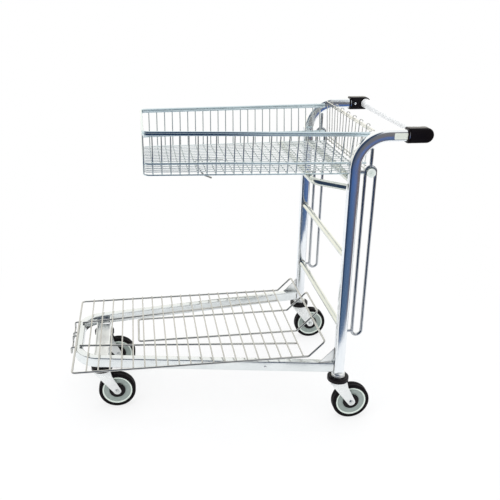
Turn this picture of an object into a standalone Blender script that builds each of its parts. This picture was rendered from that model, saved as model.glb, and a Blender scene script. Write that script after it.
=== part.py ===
"""Two-tier nesting shop trolley: a wire basket over a lifting wire deck, on four castors.

Frame: +X points to the push handle, +Y to the pusher's right hand, +Z up. The origin is on the
floor, under the middle of the trolley's overall box. All lengths are metres. The dimensions below
count X from the front faces of the two uprights, and the last step moves every piece forward to
its place about the origin.
"""

import math

import bmesh
import bpy
from mathutils import Matrix, Vector

# ---------------------------------------------------------------- driving dimensions
GAP = 0.0003  # clearance kept between neighbouring solids
WELD = 0.7  # axes of two welded rods stand this share of their two radii apart

TUBE_DEEP = 0.034  # frame tube, its size along X on an upright
TUBE_WIDE = 0.026  # frame tube, its size along Y on an upright
TUBE_TALL = 0.035  # frame tube, its size along Z on the chassis
TUBE_ROUND = 0.007  # corner radius of the frame tube
TUBE_WALL = 0.002

UPRIGHT_OUTER_Y = 0.298
FRAME_BOTTOM_Z = 0.175
HANDLE_TUBE_Z = 0.960
HANDLE_BEND_R = 0.097
HANDLE_TUBE_END_X = 0.168

RAIL_OUTER_Y = 0.291  # outer face of the chassis at X = 0
RAIL_TAPER = 0.158  # how much each side of the chassis comes in per metre forward
CHASSIS_FRONT_X = -0.852
CHASSIS_CORNER_R = 0.085

CROSS_BAR_R = 0.010
LOWER_BAR_Z = 0.335
UPPER_BAR_Z = 0.575
BOW_R = 0.010
BOW_Z = 0.820
BOW_REACH_X = -0.098
BOW_HALF = 0.255
BOW_BEND_R = 0.032

GUSSET_LONG = 0.050
GUSSET_TALL = 0.052
GUSSET_THICK = 0.003
GUSSET_INSET = 0.010  # from the chassis's outer face to the middle of the plate

BRIDGE_AHEAD = 0.024  # from the castor axis to the bridge's front flange
BRIDGE_BEHIND = 0.027
BRIDGE_SHEET = 0.003
BRIDGE_REAR_DROP = 0.002  # how far the top of the rear flange lies below the rails' top
BRIDGE_FRONT_DROP = 0.014

LOOP_ROD_R = 0.005
LOOP_FRONT_X = 0.051
LOOP_REAR_X = 0.082
LOOP_BOTTOM_Z = 0.310
LOOP_TOP_Z = 0.868
LOOP_STRAP = 0.008
SPOOL_R = 0.0105
SPOOL_HALF = 0.011

RAIL_BOLT_X = -0.223
RAIL_BOLT_R = 0.005

CAP_END_X = 0.244
CAP_TALL = 0.044
CAP_WIDE = 0.034
GRIP_R = 0.0165
GRIP_X = 0.224
GRIP_SOCKET = 0.012  # how far the grip runs into each end cap
CAP_EDGE_R = 0.005
CAP_SCREW_R = 0.005
CAP_SCREW_SETBACK = 0.016  # from the cap's mouth to the screw

BASKET_FRONT_X = -0.600
BASKET_FRONT_LEAN = 0.002  # how far the front leans out between floor and rim
BASKET_REAR_X = 0.068
BASKET_FLOOR_Z = 0.8305
BASKET_RIM_Z = 0.964
BASKET_HALF_FRONT_RIM = 0.190
BASKET_HALF_FRONT_FLOOR = 0.188
BASKET_HALF_REAR_RIM = 0.257
BASKET_HALF_REAR_FLOOR = 0.229
BASKET_WALL = 0.003

GATE_PIVOT_X = 0.076
GATE_PIVOT_Z = 0.969
GATE_ROD_R = 0.0035
GATE_WIRE_R = 0.0017
GATE_HALF_TOP = 0.243
GATE_HALF_BOTTOM = 0.216
GATE_BOTTOM_Z = 0.842
GATE_TOP_ROD_Z = 0.9605
GATE_WIRES = 15

DECK_ROD_R = 0.0035
DECK_WIRE_R = 0.0024
DECK_FRONT_X = -0.847
DECK_REAR_X = -0.080
DECK_RISE = 0.0095  # how much higher the deck's rear lies than its front
DECK_HALF = 0.260
DECK_LIP_RUN = 0.052
DECK_INNER_HALF = 0.082
DECK_INNER_FRONT_X = -0.634
DECK_INNER_LIP_RUN = 0.072
STAY_FRONT_Y = 0.084
STAY_REAR_Y = 0.170
DECK_WIRE_PITCH = 0.037
DECK_WIRES = 20
HOOK_ROD_R = 0.0028
HOOK_REACH = 0.015  # how far the deck's hooks stand ahead of its front rod
HOOK_DROP = 0.0235

WHEEL_R = 0.0625
TYRE_WIDE = 0.030
TYRE_DEEP = 0.0115
HUB_R = 0.0275
SLEEVE_R = 0.013
AXLE_R = 0.004
BOLT_HEAD_R = 0.0075
TRAIL = 0.048
REAR_PIVOT_X = TUBE_DEEP / 2
REAR_PIVOT_Y = UPRIGHT_OUTER_Y - TUBE_WIDE / 2
FRONT_PIVOT_X = -0.762
FRONT_PIVOT_Y = 0.126
CUP_R = 0.022
CUP_BOTTOM_Z = 0.1505
BUFFER_R = 0.0355
BUFFER_BOTTOM_Z = 0.144
BUFFER_TOP_Z = 0.160
FORK_TOP_Z = 0.1435
FORK_PLATE = 0.003
FORK_CLEAR = 0.0015  # between a side of the tyre and the fork leg beside it
FORK_HALF_TOP = 0.0285
FORK_FOOT_R = 0.013
NECK_R = 0.0138
PIN_R = 0.005
PIN_HEAD_R = 0.009

# ---------------------------------------------------------------- worked out from the above
RAIL_TOP_Z = FRAME_BOTTOM_Z + TUBE_TALL
UPRIGHT_Y = UPRIGHT_OUTER_Y - TUBE_WIDE / 2
UPRIGHT_X = TUBE_DEEP / 2
BEND_START_Z = HANDLE_TUBE_Z - HANDLE_BEND_R
DECK_FRONT_Z = RAIL_TOP_Z + GAP + DECK_ROD_R
LEG_Y = TYRE_WIDE / 2 + FORK_CLEAR + FORK_PLATE / 2
HOOK_FRONT_X = DECK_FRONT_X - HOOK_REACH - HOOK_ROD_R
ORIGIN_TO_UPRIGHTS = -(HOOK_FRONT_X + CAP_END_X) / 2
SIDES = {"left": -1, "right": 1}


# ---------------------------------------------------------------- scene and materials
for stale in list(bpy.data.objects):
    bpy.data.objects.remove(stale)

PARTS = bpy.data.collections.new("shop_trolley")
CUTTERS = bpy.data.collections.new("cutters")
bpy.context.scene.collection.children.link(PARTS)
bpy.context.scene.collection.children.link(CUTTERS)


def material(name, colour, roughness, metallic):
    made = bpy.data.materials.new(name)
    made.use_nodes = True
    shader = made.node_tree.nodes["Principled BSDF"]
    shader.inputs["Base Color"].default_value = (*colour, 1.0)
    shader.inputs["Roughness"].default_value = roughness
    shader.inputs["Metallic"].default_value = metallic
    return made


ZINC = material("bright_zinc", (0.62, 0.66, 0.70), 0.22, 1.0)
GALVANISED = material("galvanised_steel", (0.66, 0.69, 0.69), 0.45, 1.0)
CHROME_WIRE = material("chrome_wire", (0.80, 0.79, 0.75), 0.20, 1.0)
BLACK_PLASTIC = material("black_plastic", (0.020, 0.020, 0.022), 0.45, 0.0)
RUBBER = material("black_rubber", (0.015, 0.013, 0.013), 0.75, 0.0)
GREY_PLASTIC = material("grey_green_plastic", (0.36, 0.41, 0.36), 0.50, 0.0)
WHITE_PLASTIC = material("white_plastic", (0.86, 0.87, 0.87), 0.35, 0.0)


# ---------------------------------------------------------------- shapes
def place(obj, name, look):
    """Names an object, gives it its material and files it with the parts."""
    obj.name = name
    obj.data.name = name
    obj.data.materials.clear()
    obj.data.materials.append(look)
    for home in list(obj.users_collection):
        home.objects.unlink(obj)
    PARTS.objects.link(obj)
    return obj


def from_bmesh(shape, location=(0, 0, 0)):
    mesh = bpy.data.meshes.new("piece")
    shape.to_mesh(mesh)
    shape.free()
    obj = bpy.data.objects.new("piece", mesh)
    obj.location = location
    CUTTERS.objects.link(obj)
    return obj


def box(low, high):
    """A box between two corners."""
    low, high = Vector(low), Vector(high)
    shape = bmesh.new()
    bmesh.ops.create_cube(shape, size=1.0)
    bmesh.ops.scale(shape, vec=high - low, verts=shape.verts)
    return from_bmesh(shape, (low + high) / 2)


def cylinder(radius, start, end, sides=16):
    """A round bar between two points on its axis."""
    start, end = Vector(start), Vector(end)
    shape = bmesh.new()
    bmesh.ops.create_cone(
        shape, cap_ends=True, segments=sides, radius1=radius, radius2=radius, depth=(end - start).length
    )
    turn = Vector((0, 0, 1)).rotation_difference(end - start).to_matrix().to_4x4()
    bmesh.ops.transform(shape, matrix=turn, verts=shape.verts)
    return from_bmesh(shape, (start + end) / 2)


def turned(profile, location, axis="Z", sides=20):
    """A closed (radius, height) profile spun about an axis through the location."""
    shape = bmesh.new()
    points = [shape.verts.new((radius, 0, height)) for radius, height in profile]
    for first, second in zip(points, points[1:] + points[:1]):
        shape.edges.new((first, second))
    obj = from_bmesh(shape, location)
    screw = obj.modifiers.new("Spin", "SCREW")
    screw.steps = screw.render_steps = sides
    screw.use_merge_vertices = True
    screw.merge_threshold = 0.000001
    screw.use_normal_calculate = True
    if axis == "Y":
        obj.rotation_euler.x = -math.pi / 2
    return obj


def curve_object(points, kind, cyclic=False):
    curve = bpy.data.curves.new("path", "CURVE")
    curve.dimensions = kind
    spline = curve.splines.new("POLY")
    spline.points.add(len(points) - 1)
    for slot, point in zip(spline.points, points):
        slot.co = (*Vector(point).to_3d(), 1.0)
    spline.use_cyclic_u = cyclic
    obj = bpy.data.objects.new("path", curve)
    CUTTERS.objects.link(obj)
    return obj


def rod(points, radius, cyclic=False, sides=6):
    """A round rod along a path."""
    obj = curve_object(points, "3D", cyclic)
    obj.data.bevel_depth = radius
    obj.data.bevel_resolution = (sides - 4) // 2
    obj.data.use_fill_caps = True
    return obj


def plate(outline, thickness, location):
    """A flat (x, z) outline given thickness along Y."""
    obj = curve_object(outline, "2D", cyclic=True)
    obj.data.fill_mode = "BOTH"
    obj.data.extrude = thickness / 2
    obj.location = location
    obj.rotation_euler.x = math.pi / 2
    return obj


def tube_section(across, along):
    """Closed outline of the frame tube with rounded corners, used as a bevel profile."""
    reach_x, reach_y = across / 2 - TUBE_ROUND, along / 2 - TUBE_ROUND
    points = []
    for quarter in range(4):
        centre_x = reach_x * (1 if quarter in (0, 3) else -1)
        centre_y = reach_y * (1 if quarter in (0, 1) else -1)
        for step in range(3):
            angle = math.radians(90 * quarter + 45 * step)
            points.append(
                (centre_x + TUBE_ROUND * math.cos(angle), centre_y + TUBE_ROUND * math.sin(angle))
            )
    section = curve_object(points, "2D", cyclic=True)
    section.name = "tube_section"
    section.hide_render = True
    section.display_type = "WIRE"
    return section


def frame_tube(points, section):
    """The outer skin of the frame's tube along a flat path in the object's own XY plane."""
    obj = curve_object(points, "2D")
    obj.data.bevel_mode = "OBJECT"
    obj.data.bevel_object = section
    obj.data.fill_mode = "NONE"
    return obj


def hollow(skin):
    """The tube skin given its wall, open at both ends."""
    tube = as_mesh(skin)
    wall = tube.modifiers.new("Wall", "SOLIDIFY")
    wall.thickness = TUBE_WALL
    wall.offset = -1.0
    return tube


def arc(centre, radius, start, end, steps):
    """Points on an arc in a plane, angles in degrees."""
    angles = [math.radians(start + (end - start) * step / steps) for step in range(steps + 1)]
    return [(centre[0] + radius * math.cos(a), centre[1] + radius * math.sin(a)) for a in angles]


def fillet(before, corner, after, radius, steps):
    """Points of the arc that rounds off one corner of a path."""
    towards_before = (before - corner).normalized()
    towards_after = (after - corner).normalized()
    half = towards_before.angle(towards_after) / 2
    centre = corner + (towards_before + towards_after).normalized() * radius / math.sin(half)
    first = corner + towards_before * radius / math.tan(half) - centre
    last = corner + towards_after * radius / math.tan(half) - centre
    sweep = first.angle(last)
    points = []
    for step in range(steps + 1):
        share = step / steps
        mix = first * math.sin((1 - share) * sweep) + last * math.sin(share * sweep)
        points.append(centre + mix / math.sin(sweep))
    return points


def rounded_path(corners, radius, steps=3, cyclic=False):
    """A path through corners, each rounded to the same radius."""
    corners = [Vector(corner).to_3d() for corner in corners]
    count = len(corners)
    points = []
    for index, corner in enumerate(corners):
        if not cyclic and index in (0, count - 1):
            points.append(corner)
            continue
        before, after = corners[index - 1], corners[(index + 1) % count]
        points.extend(fillet(before, corner, after, radius, steps))
    return points


def as_mesh(obj):
    """The object as it evaluates, as a plain welded mesh object that replaces it."""
    bpy.context.view_layer.update()
    graph = bpy.context.evaluated_depsgraph_get()
    mesh = bpy.data.meshes.new_from_object(obj.evaluated_get(graph))
    mesh.transform(obj.matrix_world)
    shape = bmesh.new()
    shape.from_mesh(mesh)
    bmesh.ops.remove_doubles(shape, verts=shape.verts, dist=0.000001)
    bmesh.ops.recalc_face_normals(shape, faces=shape.faces)
    shape.to_mesh(mesh)
    shape.free()
    made = bpy.data.objects.new("piece", mesh)
    CUTTERS.objects.link(made)
    bpy.data.objects.remove(obj)
    return made


def group(objs):
    """Several shapes that don't meet, as one mesh, so that one Boolean can join them all."""
    shape = bmesh.new()
    for obj in objs:
        piece = as_mesh(obj)
        shape.from_mesh(piece.data)
        bpy.data.objects.remove(piece)
    return from_bmesh(shape)


def combine(operation, first, *others):
    """The first shape joined with, or cut by, each of the others in turn."""
    result = as_mesh(first)
    for other in others:
        tool = as_mesh(other)
        boolean = result.modifiers.new(operation, "BOOLEAN")
        boolean.operation = operation
        boolean.object = tool
        result = as_mesh(result)
        bpy.data.objects.remove(tool)
    return result


def set_origin(obj, point):
    """Moves a mesh object's origin without moving its shape."""
    obj.data.transform(Matrix.Translation(-Vector(point)))
    obj.location = point
    return obj


def smooth(obj, degrees=35):
    obj.data.shade_smooth()
    obj.data.set_sharp_from_angle(angle=math.radians(degrees))
    return obj


# ---------------------------------------------------------------- frame
def rail_outer_y(x):
    return RAIL_OUTER_Y + RAIL_TAPER * x


def build_uprights():
    """Each upright stands on a castor, and bends back at the top to carry the handle."""
    section = tube_section(TUBE_DEEP, TUBE_WIDE)
    bend = arc((UPRIGHT_X + HANDLE_BEND_R, BEND_START_Z), HANDLE_BEND_R, 180, 90, 6)
    path = [(UPRIGHT_X, FRAME_BOTTOM_Z), *bend, (HANDLE_TUBE_END_X - GAP, HANDLE_TUBE_Z)]
    for side, sign in SIDES.items():
        upright = frame_tube(path, section)
        upright.rotation_euler.x = math.pi / 2
        upright.location.y = sign * UPRIGHT_Y
        place(hollow(upright), f"{side}_upright", ZINC)


def build_chassis():
    """One tube bent to a U: two rails that converge to a short front bar."""
    half_tube = TUBE_WIDE / 2
    front_x = CHASSIS_FRONT_X + half_tube
    rear_x = -GAP
    corners = [
        (rear_x, rail_outer_y(rear_x) - half_tube),
        (front_x, rail_outer_y(front_x) - half_tube),
        (front_x, half_tube - rail_outer_y(front_x)),
        (rear_x, half_tube - rail_outer_y(rear_x)),
    ]
    section = tube_section(TUBE_WIDE, TUBE_TALL)
    chassis = frame_tube(rounded_path(corners, CHASSIS_CORNER_R, steps=6), section)
    chassis.location.z = FRAME_BOTTOM_Z + TUBE_TALL / 2
    place(hollow(chassis), "chassis_rail", GALVANISED)


def build_castor_bridge():
    """A folded steel channel between the rails that carries the two front castors."""
    front_x, rear_x = FRONT_PIVOT_X - BRIDGE_AHEAD, FRONT_PIVOT_X + BRIDGE_BEHIND
    front_top, rear_top = RAIL_TOP_Z - BRIDGE_FRONT_DROP, RAIL_TOP_Z - BRIDGE_REAR_DROP
    floor_z = FRAME_BOTTOM_Z + BRIDGE_SHEET
    outline = [
        (front_x, FRAME_BOTTOM_Z),
        (rear_x, FRAME_BOTTOM_Z),
        (rear_x, rear_top),
        (rear_x - BRIDGE_SHEET, rear_top),
        (rear_x - BRIDGE_SHEET, floor_z),
        (front_x + BRIDGE_SHEET, floor_z),
        (front_x + BRIDGE_SHEET, front_top),
        (front_x, front_top),
    ]
    bend_allowance = 0.005  # the rails already curve in beside the channel's front edge
    half_wide = rail_outer_y(front_x) - TUBE_WIDE - bend_allowance
    place(plate(outline, 2 * half_wide, (0, 0, 0)), "front_castor_bridge", GALVANISED)


def build_cross_bars():
    """Three round bars between the uprights; the top one carries the rear of the basket."""
    reach = UPRIGHT_OUTER_Y - TUBE_WIDE - GAP
    heights = {"lower_cross_bar": LOWER_BAR_Z, "upper_cross_bar": UPPER_BAR_Z, "basket_cross_bar": BOW_Z}
    for name, height in heights.items():
        bar = cylinder(CROSS_BAR_R, (UPRIGHT_X, -reach, height), (UPRIGHT_X, reach, height), 14)
        smooth(place(bar, name, ZINC))


def build_basket_bow():
    """A bent tube that runs forward from both uprights under the basket's floor."""
    start_x, start_z = -BOW_R / 3, BOW_Z - 1.4 * BOW_R
    start_y, corner_y = UPRIGHT_Y - 0.003, BOW_HALF
    corners = [
        (start_x, -start_y, start_z),
        (BOW_REACH_X, -corner_y, BOW_Z),
        (BOW_REACH_X, corner_y, BOW_Z),
        (start_x, start_y, start_z),
    ]
    bow = rod(rounded_path(corners, BOW_BEND_R, steps=5), BOW_R, sides=10)
    place(bow, "basket_support_bow", ZINC)


def build_gussets():
    """A triangle of plate in each corner between an upright and its rail."""
    corner = (-2 * GAP, RAIL_TOP_Z + GAP)
    outline = [corner, (corner[0], corner[1] + GUSSET_TALL), (corner[0] - GUSSET_LONG, corner[1])]
    for side, sign in SIDES.items():
        gusset = plate(outline, GUSSET_THICK, (0, sign * (RAIL_OUTER_Y - GUSSET_INSET), 0))
        place(gusset, f"{side}_gusset", GALVANISED)


def build_rear_loops():
    """A tall narrow rod loop behind each upright, hung from its bend and held at the foot."""
    middle_x = (LOOP_FRONT_X + LOOP_REAR_X) / 2
    turn_r = (LOOP_REAR_X - LOOP_FRONT_X) / 2
    top, bottom = LOOP_TOP_Z - turn_r, LOOP_BOTTOM_Z + turn_r
    flat = arc((middle_x, top), turn_r, 0, 180, 6) + arc((middle_x, bottom), turn_r, 180, 360, 6)
    rear_face, half_strap = TUBE_DEEP + GAP, LOOP_STRAP / 2
    bend_inner_r = HANDLE_BEND_R - TUBE_DEEP / 2
    offset = UPRIGHT_X + HANDLE_BEND_R - middle_x + LOOP_ROD_R
    strut_top = BEND_START_Z + math.sqrt(bend_inner_r**2 - offset**2) - 3 * GAP
    for side, sign in SIDES.items():
        y = sign * UPRIGHT_Y
        loop = rod([(x, y, z) for x, z in flat], LOOP_ROD_R, cyclic=True)
        strut = cylinder(LOOP_ROD_R, (middle_x, y, LOOP_TOP_Z - 0.003), (middle_x, y, strut_top), 8)
        straps = [
            box((rear_face, y - half_strap, z - half_strap), (LOOP_FRONT_X, y + half_strap, z + half_strap))
            for z in (bottom, top)
        ]
        place(combine("UNION", loop, strut, *straps), f"{side}_rear_loop", ZINC)
        ends = [(middle_x, y + reach, top - 0.002) for reach in (-SPOOL_HALF, SPOOL_HALF)]
        smooth(place(cylinder(SPOOL_R, *ends, 16), f"{side}_loop_spool", GALVANISED))


def build_rail_bolts():
    """A bolt head on the outer face of each rail."""
    x, z = RAIL_BOLT_X, FRAME_BOTTOM_Z + TUBE_TALL * 0.4
    outward = Vector((-RAIL_TAPER, 1, 0)).normalized()
    for side, sign in SIDES.items():
        normal = Vector((outward.x, sign * outward.y, 0))
        base = Vector((x, sign * rail_outer_y(x), z)) + normal * GAP
        bolt = cylinder(RAIL_BOLT_R, base, base + normal * 0.003, 6)
        place(bolt, f"{side}_rail_bolt", ZINC)


# ---------------------------------------------------------------- handle
def build_handle():
    """Moulded end caps finish the bent tubes and hold the white grip between them."""
    inner_y = UPRIGHT_Y - CAP_WIDE / 2
    nose_r = CAP_TALL / 2
    nose_x = CAP_END_X - nose_r
    outline = [
        (HANDLE_TUBE_END_X, HANDLE_TUBE_Z + nose_r),
        *arc((nose_x, HANDLE_TUBE_Z), nose_r, 90, -90, 8),
        (HANDLE_TUBE_END_X, HANDLE_TUBE_Z - nose_r),
    ]
    grip_end = inner_y + GRIP_SOCKET
    for side, sign in SIDES.items():
        body = as_mesh(plate(outline, CAP_WIDE, (0, sign * UPRIGHT_Y, 0)))
        edges = body.modifiers.new("Edges", "BEVEL")
        edges.width = CAP_EDGE_R
        edges.segments = 2
        edges.limit_method = "ANGLE"
        edges.angle_limit = math.radians(40)
        socket = cylinder(
            GRIP_R + GAP,
            (GRIP_X, sign * (inner_y - 0.02), HANDLE_TUBE_Z),
            (GRIP_X, sign * grip_end, HANDLE_TUBE_Z),
            24,
        )
        cap = combine("DIFFERENCE", body, socket)
        smooth(place(cap, f"{side}_handle_cap", BLACK_PLASTIC))
        screw_x = HANDLE_TUBE_END_X + CAP_SCREW_SETBACK
        screw = cylinder(
            CAP_SCREW_R,
            (screw_x, sign * (inner_y - GAP), HANDLE_TUBE_Z),
            (screw_x, sign * (inner_y - 0.0028), HANDLE_TUBE_Z),
            12,
        )
        place(screw, f"{side}_cap_screw", ZINC)
    reach = grip_end - GAP
    grip = cylinder(GRIP_R, (GRIP_X, -reach, HANDLE_TUBE_Z), (GRIP_X, reach, HANDLE_TUBE_Z), 24)
    smooth(place(grip, "push_handle", WHITE_PLASTIC))


# ---------------------------------------------------------------- basket and gate
def build_basket():
    """An open tray the size of the wire basket: floor, two flared sides and a front, no rear."""
    shape = bmesh.new()
    bmesh.ops.create_cube(shape, size=2.0)
    for corner in shape.verts:
        rear, upper = corner.co.x > 0, corner.co.z > 0
        rear_half = BASKET_HALF_REAR_RIM if upper else BASKET_HALF_REAR_FLOOR
        front_half = BASKET_HALF_FRONT_RIM if upper else BASKET_HALF_FRONT_FLOOR
        front_x = BASKET_FRONT_X if upper else BASKET_FRONT_X + BASKET_FRONT_LEAN
        corner.co.x = BASKET_REAR_X if rear else front_x
        corner.co.y = math.copysign(rear_half if rear else front_half, corner.co.y)
        corner.co.z = BASKET_RIM_Z if upper else BASKET_FLOOR_Z
    open_faces = [face for face in shape.faces if face.normal.z > 0.5 or face.normal.x > 0.5]
    bmesh.ops.delete(shape, geom=open_faces, context="FACES_ONLY")
    basket = place(from_bmesh(shape), "basket", CHROME_WIRE)
    wall = basket.modifiers.new("Wall", "SOLIDIFY")
    wall.thickness = BASKET_WALL
    wall.offset = -1.0
    wall.use_even_offset = True


def build_basket_catch():
    """A bent wire under the middle of the basket's floor."""
    top_z = BASKET_FLOOR_Z - 0.003 - GAP
    corners = [(-0.337, 0, top_z), (-0.434, 0, top_z), (-0.402, 0, 0.779), (-0.374, 0, 0.767)]
    place(rod(rounded_path(corners, 0.007), 0.003), "basket_catch", CHROME_WIRE)


def gate_half(z):
    share = (GATE_PIVOT_Z - z) / (GATE_PIVOT_Z - GATE_BOTTOM_Z)
    return GATE_HALF_TOP + (GATE_HALF_BOTTOM - GATE_HALF_TOP) * share


def build_gate():
    """The basket's rear flap: upright wires on cross rods, hooked round a hinge rod."""
    reach = BASKET_HALF_REAR_RIM + 0.003
    hinge = cylinder(
        GATE_ROD_R, (GATE_PIVOT_X, -reach, GATE_PIVOT_Z), (GATE_PIVOT_X, reach, GATE_PIVOT_Z), 10
    )
    place(hinge, "gate_hinge_rod", CHROME_WIRE)

    hook_r = GATE_ROD_R + 2 * GATE_WIRE_R
    wire_x = GATE_PIVOT_X - hook_r
    cross_r = 0.8 * GATE_ROD_R
    rod_x = wire_x + WELD * (GATE_WIRE_R + cross_r)
    rods = []
    for height in (GATE_BOTTOM_Z, GATE_BOTTOM_Z + 0.012, GATE_TOP_ROD_Z):
        half = gate_half(height)
        rods.append(rod([(rod_x, -half, height), (rod_x, half, height)], cross_r))
    wires = []
    for index in range(GATE_WIRES):
        share = 2 * index / (GATE_WIRES - 1) - 1
        top_y = share * (gate_half(GATE_PIVOT_Z) - 0.006)
        bottom_y = share * (gate_half(GATE_BOTTOM_Z) - 0.004)
        path = [(wire_x, bottom_y, GATE_BOTTOM_Z - 0.0035), (wire_x, top_y, GATE_TOP_ROD_Z)]
        if index % 2 == 1:
            curl = arc((GATE_PIVOT_X, GATE_PIVOT_Z), hook_r, 180, -40, 6)
            path += [(x, top_y, z) for x, z in curl]
        wires.append(rod(path, GATE_WIRE_R, sides=4))
    gate = combine("UNION", group(rods), group(wires))
    set_origin(place(gate, "basket_gate", CHROME_WIRE), (GATE_PIVOT_X, 0, GATE_PIVOT_Z))


# ---------------------------------------------------------------- deck
def deck_z(x):
    """Height of the deck's rods, which climb a little towards the rear."""
    return DECK_FRONT_Z + DECK_RISE * (x - DECK_FRONT_X) / (DECK_REAR_X - DECK_FRONT_X)


def deck_loop(front_x, half, lip_run):
    """A rod rectangle whose rear end turns up at 45 degrees."""
    front_z, rear_z = deck_z(front_x), deck_z(DECK_REAR_X)
    side = [(front_x, front_z), (DECK_REAR_X, rear_z), (DECK_REAR_X + lip_run, rear_z + lip_run)]
    corners = [(x, -half, z) for x, z in side] + [(x, half, z) for x, z in reversed(side)]
    return rod(rounded_path(corners, 0.010, steps=2, cyclic=True), DECK_ROD_R, cyclic=True)


def deck_hook(y_low, y_high):
    """A wire loop that drops from the deck's front rod, ahead of the chassis front bar."""
    front_x = DECK_FRONT_X - HOOK_REACH
    leg = [(DECK_FRONT_X, DECK_FRONT_Z), (front_x, DECK_FRONT_Z - 0.002), (front_x, DECK_FRONT_Z - HOOK_DROP)]
    corners = [(x, y_low, z) for x, z in leg] + [(x, y_high, z) for x, z in reversed(leg)]
    return rod(rounded_path(corners, 0.005, steps=1), HOOK_ROD_R)


def build_deck():
    """The lower wire shelf, which hinges up from the chassis front bar."""
    outer = deck_loop(DECK_FRONT_X, DECK_HALF, DECK_LIP_RUN)
    inner = deck_loop(DECK_INNER_FRONT_X, DECK_INNER_HALF, DECK_INNER_LIP_RUN)
    first_wire_x = DECK_FRONT_X + 0.045
    last_wire_x = first_wire_x + DECK_WIRE_PITCH * (DECK_WIRES - 1)
    stay_x = first_wire_x - 0.033
    stays = []
    for sign in SIDES.values():
        ends = [
            (stay_x, sign * STAY_FRONT_Y, deck_z(stay_x)),
            (last_wire_x, sign * STAY_REAR_Y, deck_z(last_wire_x)),
        ]
        stays.append(rod(ends, DECK_ROD_R))
    cross_reach = DECK_HALF + 0.0025
    wires = []
    for index in range(DECK_WIRES):
        x = first_wire_x + DECK_WIRE_PITCH * index
        z = deck_z(x) + WELD * (DECK_ROD_R + DECK_WIRE_R)
        wires.append(rod([(x, -cross_reach, z), (x, cross_reach, z)], DECK_WIRE_R, sides=4))
    hooks = [deck_hook(0.012, 0.084), deck_hook(-0.084, -0.012)]
    deck = combine("UNION", outer, inner, group(wires), group(stays), group(hooks))
    set_origin(place(deck, "deck", CHROME_WIRE), (DECK_FRONT_X, 0, DECK_FRONT_Z))


# ---------------------------------------------------------------- castors
def fork_leg_outline():
    """Side view of a fork leg about the swivel axis: wide at the crown, round at the axle."""
    foot = arc((TRAIL, WHEEL_R), FORK_FOOT_R, 20, -150, 6)
    knee = (FORK_HALF_TOP + 0.004, 0.122)
    return [(-FORK_HALF_TOP, FORK_TOP_Z), (FORK_HALF_TOP, FORK_TOP_Z), knee, *foot]


def build_fork(pivot):
    """Two pressed legs under a flat crown with a round neck, bored for the pin and the axle."""
    x, y = pivot
    legs = [plate(fork_leg_outline(), FORK_PLATE, (x, y + sign * LEG_Y, 0)) for sign in SIDES.values()]
    outer = LEG_Y + FORK_PLATE / 2 - 0.0005
    crown = box((x - 0.027, y - outer, FORK_TOP_Z - 0.004), (x + 0.027, y + outer, FORK_TOP_Z - 0.0005))
    neck = cylinder(NECK_R, (x, y, FORK_TOP_Z - 0.002), (x, y, CUP_BOTTOM_Z - GAP), 16)
    pin_hole = cylinder(PIN_R + GAP, (x, y, 0.13), (x, y, CUP_BOTTOM_Z + 0.01), 12)
    axle_hole = cylinder(
        AXLE_R + GAP, (x + TRAIL, y - 0.05, WHEEL_R), (x + TRAIL, y + 0.05, WHEEL_R), 12
    )
    fork = combine("UNION", group(legs), crown, neck)
    return combine("DIFFERENCE", fork, pin_hole, axle_hole)


def build_castor(name, pivot_x, pivot_y):
    """A swivel castor; the wheel trails behind the swivel axis, towards the handle."""
    pivot = (pivot_x, pivot_y)
    on_axis = (pivot_x, pivot_y, 0)
    hub_centre = (pivot_x + TRAIL, pivot_y, WHEEL_R)

    cup_top = FRAME_BOTTOM_Z - GAP
    cup_profile = [
        (PIN_R + GAP, cup_top),
        (CUP_R - 0.003, cup_top),
        (CUP_R, cup_top - 0.006),
        (CUP_R, CUP_BOTTOM_Z),
        (PIN_R + GAP, CUP_BOTTOM_Z),
    ]
    smooth(place(as_mesh(turned(cup_profile, on_axis, sides=16)), f"{name}_castor_cup", GALVANISED))

    web_z, bore, edge = CUP_BOTTOM_Z - GAP, NECK_R + 2 * GAP, 0.003
    buffer_profile = [
        (bore, web_z),
        (CUP_R + 0.0015, web_z),
        (CUP_R + 0.0015, BUFFER_TOP_Z),
        (BUFFER_R - edge, BUFFER_TOP_Z),
        (BUFFER_R, BUFFER_TOP_Z - edge),
        (BUFFER_R, BUFFER_BOTTOM_Z + edge),
        (BUFFER_R - edge, BUFFER_BOTTOM_Z),
        (bore, BUFFER_BOTTOM_Z),
    ]
    smooth(place(as_mesh(turned(buffer_profile, on_axis, sides=20)), f"{name}_buffer_ring", RUBBER))

    head_top = FORK_TOP_Z - 0.004 - GAP
    pin_top = (*pivot, cup_top - 0.002)
    shank = cylinder(PIN_R, (*pivot, head_top - 0.003), pin_top, 12)
    head = cylinder(PIN_HEAD_R, (*pivot, head_top - 0.006), (*pivot, head_top), 6)
    place(combine("UNION", shank, head), f"{name}_swivel_pin", ZINC)

    fork = place(build_fork(pivot), f"{name}_fork", GALVANISED)
    set_origin(fork, on_axis)

    wheel_x = hub_centre[0]
    head_y = LEG_Y + FORK_PLATE / 2 + GAP
    ends = [(wheel_x, pivot_y + sign * (head_y + 0.004), WHEEL_R) for sign in SIDES.values()]
    heads = [
        cylinder(
            BOLT_HEAD_R,
            (wheel_x, pivot_y + sign * head_y, WHEEL_R),
            (wheel_x, pivot_y + sign * (head_y + 0.003), WHEEL_R),
            6,
        )
        for sign in SIDES.values()
    ]
    axle = combine("UNION", cylinder(AXLE_R, *ends, 12), group(heads))
    set_origin(place(axle, f"{name}_axle_bolt", ZINC), hub_centre)

    build_wheel(name, hub_centre)


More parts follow.
